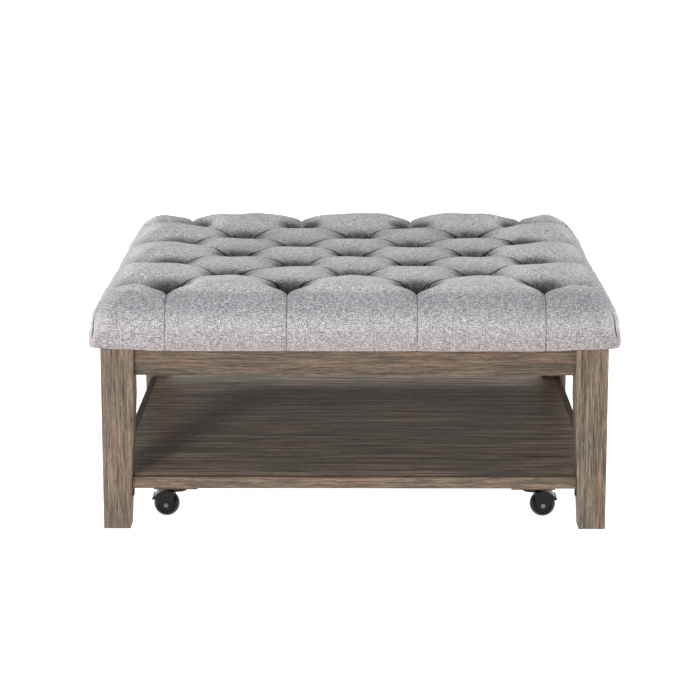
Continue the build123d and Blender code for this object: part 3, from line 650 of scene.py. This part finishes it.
def facing(points):
    """Outward and sideways directions of the side that each point faces, and its place along that side."""
    to_side = np.abs(points[:, 0]) > np.abs(points[:, 1])
    outward = np.where(to_side[:, None], np.sign(points) * [1, 0], np.sign(points) * [0, 1])
    centre = np.abs(points).max(axis=1) == 0
    outward[centre] = [0, -1]
    sideways = np.column_stack([-outward[:, 1], outward[:, 0]])
    along = (points * sideways).sum(axis=1)
    return outward, sideways, along


def rim_order(count):
    """Indices of the grid's edge points in order round the table, from its front left corner."""
    last = count - 1
    front = list(range(last))
    right = [last + row * count for row in range(last)]
    rear = [last * count + column for column in range(last, 0, -1)]
    left = [row * count for row in range(last, 0, -1)]
    return np.array(front + right + rear + left)


def ring_reaches():
    """Arc lengths of the rings below the flat top."""
    parts = [
        np.linspace(flat_half, shoulder_end, SHOULDER_RINGS + 1)[1:],
        np.linspace(shoulder_end, side_end, SIDE_RINGS + 1)[1:],
        np.linspace(side_end, roll_end, ROLL_RINGS + 1)[1:],
        np.linspace(roll_end, hem_end, UNDER_RINGS + 1)[1:],
    ]
    return np.concatenate(parts)


def top_faces(count):
    """Two triangles a cell, split along the crease that is nearer."""
    rows, columns = np.meshgrid(np.arange(count - 1), np.arange(count - 1), indexing="ij")
    corner = (rows * count + columns).ravel()
    middle_x = (columns.ravel() - FLAT_CELLS + 0.5) * cell
    middle_y = (rows.ravel() - FLAT_CELLS + 0.5) * cell
    rising = np.abs((middle_x + middle_y) / sqrt(2) / crease_spacing % 1 - 0.5)
    falling = np.abs((middle_x - middle_y) / sqrt(2) / crease_spacing % 1 - 0.5)
    cross = rising > falling
    a, b, c, d = corner, corner + 1, corner + count + 1, corner + count
    first = np.where(cross[:, None], np.column_stack([a, b, d]), np.column_stack([a, b, c]))
    second = np.where(cross[:, None], np.column_stack([b, c, d]), np.column_stack([a, c, d]))
    return first.tolist() + second.tolist()


def side_faces(rim, first, rings):
    """Faces from a rim down through rings of as many points, and the one that closes the last ring."""
    faces = []
    upper = rim
    for ring in range(rings):
        lower = first + ring * len(rim) + np.arange(len(rim))
        faces += np.column_stack([upper, lower, np.roll(lower, -1), np.roll(upper, -1)]).tolist()
        upper = lower
    faces.append(upper[::-1].tolist())
    return faces


def cover_form(shifts):
    """Every point of the cover: its place, its normal, where it lies on the flat cloth and in the folds."""
    points = grid_points()
    outward, sideways, along = facing(points)
    reach = np.abs(points).max(axis=1)
    place, normal, cloth, from_fold = ring_place(outward, sideways, along, reach)
    pulled = pull_to_creases(cloth)
    place[:, :2] += pulled - cloth
    placed = [(place, normal, pulled, from_fold)]
    rim = rim_order(2 * FLAT_CELLS + 1)
    for reach in ring_reaches():
        placed.append(ring_place(outward[rim], sideways[rim], along[rim], np.full(len(rim), reach)))
    place, normal, cloth, from_fold = [np.concatenate(group) for group in zip(*placed)]
    depth, folds = tufting(cloth, from_fold)
    place = place - normal * depth[:, None]
    place[:, :2] += shift_field(cloth, shifts)
    place[:, 2] = np.maximum(place[:, 2], cover_low.z + UNDERSIDE_LIFT)
    return place, normal, cloth, folds


def smooth_mesh(name, places, faces):
    """A mesh that is shaded as one curved skin."""
    mesh = bpy.data.meshes.new(name)
    mesh.from_pydata(places, [], faces)
    mesh.validate()
    mesh.polygons.foreach_set("use_smooth", [True] * len(mesh.polygons))
    return mesh


def lay_weave(mesh, cloth):
    """Writes each point's place on the flat cloth, in metres, as the map that the weave follows."""
    weave = mesh.uv_layers.new(name="weave")
    loops = np.zeros(len(mesh.loops), dtype=np.int32)
    mesh.loops.foreach_get("vertex_index", loops)
    weave.data.foreach_set("uv", cloth[loops].astype(np.float32).ravel())


def cover_mesh(place, cloth, folds):
    """The tufted cover as one closed skin."""
    count = 2 * FLAT_CELLS + 1
    faces = top_faces(count) + side_faces(rim_order(count), count * count, len(ring_reaches()))
    mesh = smooth_mesh("cover_cloth", place.tolist(), faces)
    lay_weave(mesh, cloth)
    for name, values in folds.items():
        attribute = mesh.attributes.new(name, "FLOAT", "POINT")
        attribute.data.foreach_set("value", values.astype(np.float32))
    return mesh


def core_mesh(place, normal, from_tuft):
    """The foam under the cover, dented where the cover is drawn into it."""
    count = 2 * FLAT_CELLS + 1
    last = count - 1
    picks = list(range(0, last, CORE_STRIDE)) + [last]
    grid = [row * count + column for row in picks for column in picks]
    rim = [pick + side * last for side in range(4) for pick in picks[:-1]]
    deep_rings = np.searchsorted(ring_reaches(), side_end)
    chosen = list(range(0, deep_rings, CORE_RING_STRIDE)) + [deep_rings]
    rows = [count * count + ring * 4 * last for ring in chosen]
    kept = grid + [row + turn for row in rows for turn in rim]
    places = (place - normal * CORE_INSET)[kept]
    places[:, :2] = np.clip(places[:, :2], [foam_low.x, foam_low.y], [foam_high.x, foam_high.y])
    places[:, 2] = np.clip(places[:, 2], foam_low.z, foam_high.z)
    places[from_tuft[kept] < CORE_HOLE, 2] = foam_low.z
    side = len(picks)
    corners = [row * side + column for row in range(side - 1) for column in range(side - 1)]
    faces = [[at, at + 1, at + 1 + side, at + side] for at in corners]
    faces += side_faces(rim_order(side), len(grid), len(rows))
    return smooth_mesh("foam_core", places.tolist(), faces)


def buttons_mesh(shifts):
    """The covered buttons: shallow domes with a rounded rim and the cloth's small tucks round it."""
    turns = np.arange(BUTTON_SIDES) * 2 * pi / BUTTON_SIDES
    tucks = 1 + BUTTON_TUCK * np.cos(BUTTON_TUCKS * turns)
    places = []
    faces = []
    for (across, deep), shift in zip(tuft_places(), shifts):
        start = len(places)
        for radius_share, height_share in BUTTON_PROFILE:
            radius = BUTTON_RADIUS * radius_share * np.where(radius_share > BUTTON_TUCK_START, tucks, 1)
            height = buttons_low.z + (buttons_high.z - buttons_low.z) * height_share
            x = across + shift[0] + radius * np.cos(turns)
            y = deep + shift[1] + radius * np.sin(turns)
            places += np.column_stack([x, y, np.full(BUTTON_SIDES, height)]).tolist()
        rings = len(BUTTON_PROFILE)
        for ring in range(rings - 1):
            for side in range(BUTTON_SIDES):
                a = start + ring * BUTTON_SIDES + side
                b = start + ring * BUTTON_SIDES + (side + 1) % BUTTON_SIDES
                faces.append([a, b, b + BUTTON_SIDES, a + BUTTON_SIDES])
        faces.append(list(range(start, start + BUTTON_SIDES))[::-1])
        last = start + (rings - 1) * BUTTON_SIDES
        faces.append(list(range(last, last + BUTTON_SIDES)))
    mesh = smooth_mesh("button_cloth", places, faces)
    lay_weave(mesh, np.array(places)[:, :2])
    return mesh


def add_object(mesh, name):
    """Puts a mesh into the scene."""
    piece = bpy.data.objects.new(name, mesh)
    bpy.context.scene.collection.objects.link(piece)
    return piece


def new_material(name):
    """A node material and its main shader."""
    material = bpy.data.materials.new(name)
    material.use_nodes = True
    return material, material.node_tree.nodes["Principled BSDF"]


def shade(kind, inputs, tree=None, **settings):
    """One shader node. Its inputs are values or the outputs of other nodes, and these tell its tree."""
    links = {key: value for key, value in inputs.items() if isinstance(value, bpy.types.NodeSocket)}
    if tree is None:
        tree = next(iter(links.values())).id_data
    made = tree.nodes.new(kind)
    for name, value in settings.items():
        setattr(made, name, value)
    for key, value in inputs.items():
        if key in links:
            tree.links.new(value, made.inputs[key])
        else:
            made.inputs[key].default_value = value
    return made


def calc(operation, first, second=0.0):
    """The result of one sum on two values."""
    return shade("ShaderNodeMath", {0: first, 1: second}, operation=operation).outputs[0]


def add(first, second):
    """Two values added."""
    return calc("ADD", first, second)


def times(first, second):
    """Two values multiplied."""
    return calc("MULTIPLY", first, second)


def wave(value, pitch):
    """A sine wave along a value."""
    return calc("SINE", times(value, 2 * pi / pitch))


def spread(value, low, high, to_low=0.0, to_high=1.0):
    """A value brought smoothly from one range to another, and held at its ends."""
    inputs = {"Value": value, "From Min": low, "From Max": high, "To Min": to_low, "To Max": to_high}
    return shade("ShaderNodeMapRange", inputs, interpolation_type="SMOOTHSTEP").outputs["Result"]


def speckle(place, scale, detail=2.0, roughness=0.5):
    """Noise over a place that is scaled apart along each axis, in features a metre."""
    scaled = shade("ShaderNodeVectorMath", {0: place, 1: scale}, operation="MULTIPLY").outputs[0]
    inputs = {"Vector": scaled, "Scale": 1.0, "Detail": detail, "Roughness": roughness}
    return shade("ShaderNodeTexNoise", inputs).outputs[0]


def ramp(factor, stops):
    """Colours along a value."""
    made = shade("ShaderNodeValToRGB", {"Fac": factor})
    elements = made.color_ramp.elements
    for index, (position, colour) in enumerate(stops):
        element = elements[index] if index < len(elements) else elements.new(position)
        element.position = position
        element.color = (*colour, 1)
    return made.outputs["Color"]


def blend(factor, first, second, mode="MIX"):
    """Two colours mixed by a value."""
    first, second = [(*colour, 1) if isinstance(colour, tuple) else colour for colour in (first, second)]
    inputs = {0: factor, 6: first, 7: second}
    return shade("ShaderNodeMix", inputs, data_type="RGBA", blend_type=mode).outputs[2]


def tinted(colour, tint):
    """A colour multiplied by another, or by a value."""
    return blend(1.0, colour, tint, "MULTIPLY")


def dress(material, shader, colour, roughness, height, distance, strength):
    """The main shader's colour, roughness and relief, whose height is in shares of a real distance."""
    bump = shade("ShaderNodeBump", {"Height": height, "Distance": distance, "Strength": strength})
    links = material.node_tree.links
    links.new(colour, shader.inputs["Base Color"])
    links.new(roughness, shader.inputs["Roughness"])
    links.new(bump.outputs["Normal"], shader.inputs["Normal"])
    return material


def noisy(noise, gloss):
    """A roughness that follows a noise between two ends."""
    return spread(noise, *NOISE_MIDDLE, *gloss)


def object_place(material, offset=(0, 0, 0)):
    """The place on the table, moved so that no two pieces show the same stretch of grain."""
    place = shade("ShaderNodeTexCoord", {}, material.node_tree).outputs["Object"]
    return shade("ShaderNodeVectorMath", {0: place, 1: offset}, operation="ADD").outputs[0]


def table_height(material):
    """The height above the floor."""
    return shade("ShaderNodeSeparateXYZ", {0: object_place(material)}).outputs["Z"]


def stored(material, name):
    """A value that the mesh carries at each point."""
    return shade("ShaderNodeAttribute", {}, material.node_tree, attribute_name=name).outputs["Fac"]


def yarns(across, deep):
    """A plain weave: its relief, and the tone of the yarn that lies on top."""
    warp = wave(across, 2 * YARN_PITCH)
    weft = wave(deep, 2 * YARN_PITCH)
    over = calc("GREATER_THAN", times(warp, weft), 0.0)
    under = calc("SUBTRACT", 1.0, over)
    warp_round = times(over, calc("ABSOLUTE", warp))
    weft_round = times(under, calc("ABSOLUTE", weft))
    warp_yarn = calc("FLOOR", calc("DIVIDE", across, YARN_PITCH))
    weft_yarn = calc("FLOOR", calc("DIVIDE", deep, YARN_PITCH))
    warp_spot = {"X": warp_yarn, "Y": deep}
    weft_spot = {"X": across, "Y": weft_yarn, "Z": WEFT_APART}
    warp_place = shade("ShaderNodeCombineXYZ", warp_spot).outputs[0]
    weft_place = shade("ShaderNodeCombineXYZ", weft_spot).outputs[0]
    warp_tone = times(over, speckle(warp_place, (YARN_JUMP, SLUBS_PER_METRE, 1), 1.0))
    weft_tone = times(under, speckle(weft_place, (SLUBS_PER_METRE, YARN_JUMP, 1), 1.0))
    return add(warp_round, weft_round), add(warp_tone, weft_tone)


def thin_line(material, offset, width, strength):
    """The mask of a painted dark shade line where a stored offset is 0, gone beyond its width on both
    sides.
    """
    side = calc("ABSOLUTE", stored(material, offset))
    return times(spread(side, *width, 1.0, 0.0), strength)


def fold_shade(material):
    """Painted shade in the folds: dark in the wells, and a thin painted dark line in each crease."""
    # Painted dark shade lines: in each crease, along each flap's edge and low in each corner fold
    crease = thin_line(material, "crease_distance", CREASE_SHADE_LINE, stored(material, "crease_shade_strength"))
    flap = thin_line(material, "flap_offset", FLAP_SHADE_LINE, stored(material, "flap_strength"))
    low_shade_mask = spread(table_height(material), *corner_shade_top, 1.0, 0.0)
    corner = thin_line(material, "corner_offset", CORNER_SHADE_LINE, low_shade_mask)
    line = calc("MAXIMUM", calc("MAXIMUM", crease, flap), corner)
    bright = calc("SUBTRACT", 1.0, times(line, PAINTED_LINE_DARKNESS))
    # Painted shade in the wells, darkest near each tuft
    from_tuft = stored(material, "tuft_distance")
    well = spread(from_tuft, WELL_SHADE_START, WELL_SHADE_REACH, WELL_PAINTED_BRIGHTNESS, 1.0)
    return times(bright, well)


def heather(flat, tone, fleck):
    """The mixed greys of the yarns, with slow clouds in them."""
    long_fleck = speckle(flat, (FLECKS_PER_METRE / 4, FLECKS_PER_METRE, 1), 1.0)
    mixed = add(times(tone, YARN_SHARE), times(fleck, FLECK_SHARE))
    mixed = add(mixed, times(long_fleck, LONG_FLECK_SHARE))
    cloudy = speckle(flat, (CLOUDS_PER_METRE, CLOUDS_PER_METRE, 1), 3.0, 0.75)
    return tinted(ramp(mixed, CLOTH_TONES), ramp(cloudy, CLOTH_CLOUDS))


def cloth_material(name, folded):
    """Heathered grey cloth of coarse, uneven yarns, with painted shade low on the sides, in a band under
    the shoulder, and in the folds or, on the buttons, evenly.
    """
    material, shader = new_material(name)
    flat = shade("ShaderNodeUVMap", {}, material.node_tree, uv_map="weave").outputs["UV"]
    parts = shade("ShaderNodeSeparateXYZ", {0: flat})
    relief, tone = yarns(parts.outputs["X"], parts.outputs["Y"])
    fleck = speckle(flat, (FLECKS_PER_METRE, FLECKS_PER_METRE, 1), 2.0, 0.6)
    colour = heather(flat, tone, fleck)
    height = table_height(material)
    # Painted shade and warm bounce light low on the sides
    low_shade_mask = spread(height, cover_low.z, side_top + LOW_SIDE_RISE, 1.0, 0.0)
    colour = blend(low_shade_mask, colour, tinted(colour, LOW_SIDE_PAINTED_SHADE))
    # Painted shade in a band under the shoulder
    shade_band = times(spread(height, *SHADE_BAND_FOOT), spread(height, *SHADE_BAND_TOP))
    colour = blend(shade_band, colour, tinted(colour, PAINTED_BAND_SHADE))
    # Painted shade: folds, lines and wells on the cover, an even painted shade on the buttons
    colour = tinted(colour, fold_shade(material) if folded else BUTTON_PAINTED_SHADE)
    shader.inputs["Sheen Weight"].default_value = CLOTH_SHEEN
    shader.inputs["Specular IOR Level"].default_value = CLOTH_SPECULAR
    bumps = add(times(relief, YARN_RELIEF), times(fleck, FLECK_RELIEF))
    roughness = noisy(fleck, CLOTH_GLOSS)
    return dress(material, shader, colour, roughness, bumps, CLOTH_RELIEF, CLOTH_RELIEF_STRENGTH)


def along_axis(axis, along, across):
    """Scales for grain that runs along one axis."""
    return tuple(along if index == axis else across for index in range(3))


def wood_material(name, axis, offset, finish, gloss=WOOD_GLOSS, scale=WOOD_GRAIN):
    """Wire-brushed, grey-washed wood whose grain runs along one axis."""
    tones, tints, specks, brightness = finish
    material, shader = new_material(name)
    place = object_place(material, offset)
    sway = speckle(place, along_axis(axis, *SWAY_GRAIN), 1.0)
    sway = times(calc("SUBTRACT", sway, 0.5), GRAIN_SWAY)
    swayed = shade("ShaderNodeVectorMath", {0: place, 1: sway}, operation="ADD").outputs[0]
    grain = speckle(swayed, along_axis(axis, *scale), 4.0, 0.66)
    pores = speckle(swayed, along_axis(axis, *PORE_GRAIN), 2.0, 0.5)
    patches = speckle(swayed, along_axis(axis, *PATCH_GRAIN), 3.0, 0.6)
    chips = speckle(swayed, along_axis(axis, *CHIP_GRAIN), 2.0, 0.6)
    figure = add(times(grain, GRAIN_SHARE), times(pores, PORE_SHARE))
    colour = tinted(ramp(figure, tones), ramp(patches, tints))
    light = times(spread(chips, *CHIP_START), specks)
    colour = blend(light, colour, SPECK_COLOUR)
    colour = tinted(colour, spread(pores, *PORE_SHADE))
    colour = tinted(colour, (brightness, brightness, brightness))
    return dress(material, shader, colour, noisy(grain, gloss), figure, WOOD_RELIEF, 0.5)


def plywood_material(name):
    """Plywood: plies along the edge, plain veneer grain on the faces."""
    material, shader = new_material(name)
    grain = speckle(object_place(material), along_axis(0, *VENEER_GRAIN), 3.0)
    plies = wave(table_height(material), PLY_THICKNESS)
    value = add(times(plies, PLY_CONTRAST), grain)
    colour = ramp(value, PLYWOOD_TONES)
    return dress(material, shader, colour, noisy(grain, (0.6, 0.8)), grain, 0.4 * MM, 0.4)


def hard_material(name, tones, metallic, gloss, grain, bump, specular=0.5):
    """Metal or plastic with fine unevenness in its colour, gloss and surface."""
    material, shader = new_material(name)
    place = object_place(material)
    fine = speckle(place, (grain, grain, grain), 3.0, 0.6)
    wide_grain = grain / WIDE_SPECKS
    wide = speckle(place, (wide_grain, wide_grain, wide_grain), 2.0)
    colour = ramp(times(add(fine, wide), 0.5), tones)
    shader.inputs["Metallic"].default_value = metallic
    shader.inputs["Specular IOR Level"].default_value = specular
    return dress(material, shader, colour, noisy(wide, gloss), fine, 0.1 * MM, bump)


def foam_material(name):
    """Open-cell foam."""
    material, shader = new_material(name)
    inputs = {"Vector": object_place(material), "Scale": FOAM_CELLS_PER_METRE}
    cells = shade("ShaderNodeTexVoronoi", inputs).outputs["Distance"]
    roughness = spread(cells, 0.0, 0.8, 0.85, 0.98)
    return dress(material, shader, ramp(cells, FOAM_TONES), roughness, cells, 0.5 * MM, 0.6)


def dust_cloth_material(name):
    """Thin black felted cloth with a dimpled grid."""
    material, shader = new_material(name)
    place = object_place(material)
    parts = shade("ShaderNodeSeparateXYZ", {0: place})
    across = wave(parts.outputs["X"], DIMPLE_PITCH)
    deep = wave(parts.outputs["Y"], DIMPLE_PITCH)
    fibres = speckle(place, DUST_FIBRES, 3.0)
    colour = ramp(fibres, DUST_TONES)
    felt = add(times(across, deep), fibres)
    return dress(material, shader, colour, noisy(fibres, (0.85, 0.95)), felt, 0.2 * MM, 0.6)


def twine_material(name):
    """Waxed twisted twine."""
    material, shader = new_material(name)
    place = object_place(material)
    parts = shade("ShaderNodeSeparateXYZ", {0: place})
    plies = wave(add(parts.outputs["Z"], parts.outputs["X"]), TWIST_PITCH)
    fibres = speckle(place, TWINE_FIBRES, 2.0)
    colour = ramp(fibres, TWINE_TONES)
    twist = add(plies, fibres)
    return dress(material, shader, colour, noisy(fibres, (0.6, 0.8)), twist, 0.3 * MM, 0.7)


def floor_paint():
    """A pale floor, itself as bright as a lit studio sweep."""
    material, shader = new_material("floor_paint")
    shader.inputs["Base Color"].default_value = FLOOR_COLOUR
    shader.inputs["Roughness"].default_value = FLOOR_ROUGHNESS
    shader.inputs["Emission Color"].default_value = (1, 1, 1, 1)
    shader.inputs["Emission Strength"].default_value = FLOOR_GLOW
    return material


def paint(start, material):
    """Gives its material to each CAD node whose name starts so. A later call may change some of them."""
    for name, node in nodes.items():
        if name.startswith(start):
            node.data.materials.clear()
            node.data.materials.append(material)


def grain_offset(stretch, index):
    """Where a piece's own stretch of grain lies."""
    return tuple(index * step + first for step, first in zip(*stretch))


def paint_legs():
    """The legs, a little warmer in tone on the left."""
    for index, corner in enumerate(CORNERS):
        finish = LEFT_LEG_WOOD if corner.endswith("left") else RIGHT_LEG_WOOD
        offset = grain_offset(LEG_STRETCH, index)
        paint("leg_" + corner, wood_material("leg_wood_" + corner, 2, offset, finish))


def paint_rails():
    """The rails and the shelf's edging, each with its grain along its length."""
    for index, (side, axis) in enumerate(SIDE_AXES.items()):
        offset = grain_offset(RAIL_STRETCH, index)
        paint("rail_" + side, wood_material("rail_wood_" + side, axis, offset, RAIL_WOOD))
        offset = grain_offset(EDGE_STRETCH, index)
        paint("shelf_edge_" + side, wood_material("edge_wood_" + side, axis, offset, EDGE_WOOD))


def paint_boards():
    """The shelf, the blocks and the deck."""
    shelf = wood_material("shelf_wood", 0, SHELF_OFFSET, SHELF_WOOD, SHELF_GLOSS, SHELF_GRAIN)
    paint("shelf_panel", shelf)
    paint("corner_block", wood_material("hidden_wood", 0, HIDDEN_OFFSET, HIDDEN_WOOD))
    paint("caster_block", wood_material("dark_wood", 0, BLOCK_OFFSET, BLOCK_WOOD))
    paint("deck_board", plywood_material("plywood"))


def paint_hardware():
    """Casters, brackets, screws and bolts."""
    ball = hard_material("ball_plastic", BLACK_TONES, 0.0, (0.14, 0.26), 900, 0.08, specular=0.15)
    hood = hard_material("hood_steel", BLACK_TONES, 0.0, (0.16, 0.32), 700, 0.12, specular=0.22)
    axle = hard_material("bright_steel", BRIGHT_TONES, 1.0, (0.18, 0.32), 500, 0.15)
    zinc = hard_material("zinc_steel", ZINC_TONES, 1.0, (0.3, 0.5), 350, 0.2)
    black = hard_material("black_steel", BRACKET_TONES, 0.6, (0.4, 0.6), 500, 0.2)
    paint("caster_ball", ball)
    paint("caster_hood", hood)
    paint("caster_axle", axle)
    for start in ZINC_NODES:
        paint(start, zinc)
    for start in BLACK_NODES:
        paint(start, black)


def area_light(name, azimuth, elevation, distance, size, power, lit=None):
    """A soft square light that shines at the table. With lit, a collection, it is flagged off all else."""
    data = bpy.data.lights.new(name, "AREA")
    data.size = size
    data.energy = power
    lamp = add_object(data, name)
    back = Vector((sin(azimuth) * cos(elevation), -cos(azimuth) * cos(elevation), sin(elevation)))
    lamp.location = LIGHT_TARGET + back * distance
    lamp.rotation_euler = (-back).to_track_quat("-Z", "Y").to_euler()
    lamp.visible_camera = False
    if lit is not None:
        lamp.light_linking.receiver_collection = lit


def studio_lights(cushion):
    """Key, top and rear lights for the whole table, and two side lights for its cushion alone."""
    cushion_only = bpy.data.collections.new("cushion_only")
    cushion_only.objects.link(cushion)
    area_light("key", *KEY_LIGHT)
    area_light("top", *TOP_LIGHT)
    area_light("left", *LEFT_LIGHT, cushion_only)
    area_light("right", *RIGHT_LIGHT, cushion_only)
    area_light("rear", *REAR_LIGHT)


def studio_world():
    """White surroundings that are brightest at the horizon."""
    world = bpy.data.worlds.new("studio")
    world.use_nodes = True
    background = world.node_tree.nodes["Background"]
    background.inputs["Color"].default_value = (1, 1, 1, 1)
    direction = shade("ShaderNodeTexCoord", {}, world.node_tree).outputs["Generated"]
    rise = shade("ShaderNodeSeparateXYZ", {0: direction}).outputs["Z"]
    glow = spread(rise, 0.0, HORIZON_SINE, HORIZON_GLOW, WORLD_GLOW)
    haze = spread(rise, 0.0, HAZE_SINE, HAZE_GLOW, 0.0)
    world.node_tree.links.new(add(glow, haze), background.inputs["Strength"])
    return world


# Tufted top
shifts = tuft_shifts()
place, normal, cloth, folds = cover_form(shifts)
cover = add_object(cover_mesh(place, cloth, folds), "cover")
cover.data.materials.append(cloth_material("cover_cloth", True))
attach(cover, "table")
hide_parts("tufted_cover")

buttons = add_object(buttons_mesh(shifts), "covered_buttons")
buttons.data.materials.append(cloth_material("button_cloth", False))
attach(buttons, "table")
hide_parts("tuft_buttons")

core = add_object(core_mesh(place, normal, folds["tuft_distance"]), "foam_core")
core.data.materials.append(foam_material("foam"))
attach(core, "table")
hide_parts("foam_pad")

# Finishes of the CAD pieces
paint_legs()
paint_rails()
paint_boards()
paint_hardware()
paint("dust_cover", dust_cloth_material("dust_cloth"))
paint("tuft_twines", twine_material("twine"))
paint("twine_anchors", hard_material("anchor_plastic", BLACK_TONES, 0.0, (0.4, 0.6), 300, 0.2))

# Floor, light and camera
bpy.ops.mesh.primitive_plane_add(size=FLOOR_SIZE)
floor = bpy.context.object
floor.name = "floor"
floor.data.materials.append(floor_paint())
studio_lights(cover)
bpy.context.scene.world = studio_world()
bpy.context.scene.view_settings.view_transform = "Standard"

camera_data = bpy.data.cameras.new("camera")
camera_data.lens = CAMERA_LENS
camera = add_object(camera_data, "camera")
camera.location = CAMERA_PLACE
camera.rotation_euler = (pi / 2 - CAMERA_DOWN, 0, CAMERA_LEFT)
bpy.context.scene.camera = camera
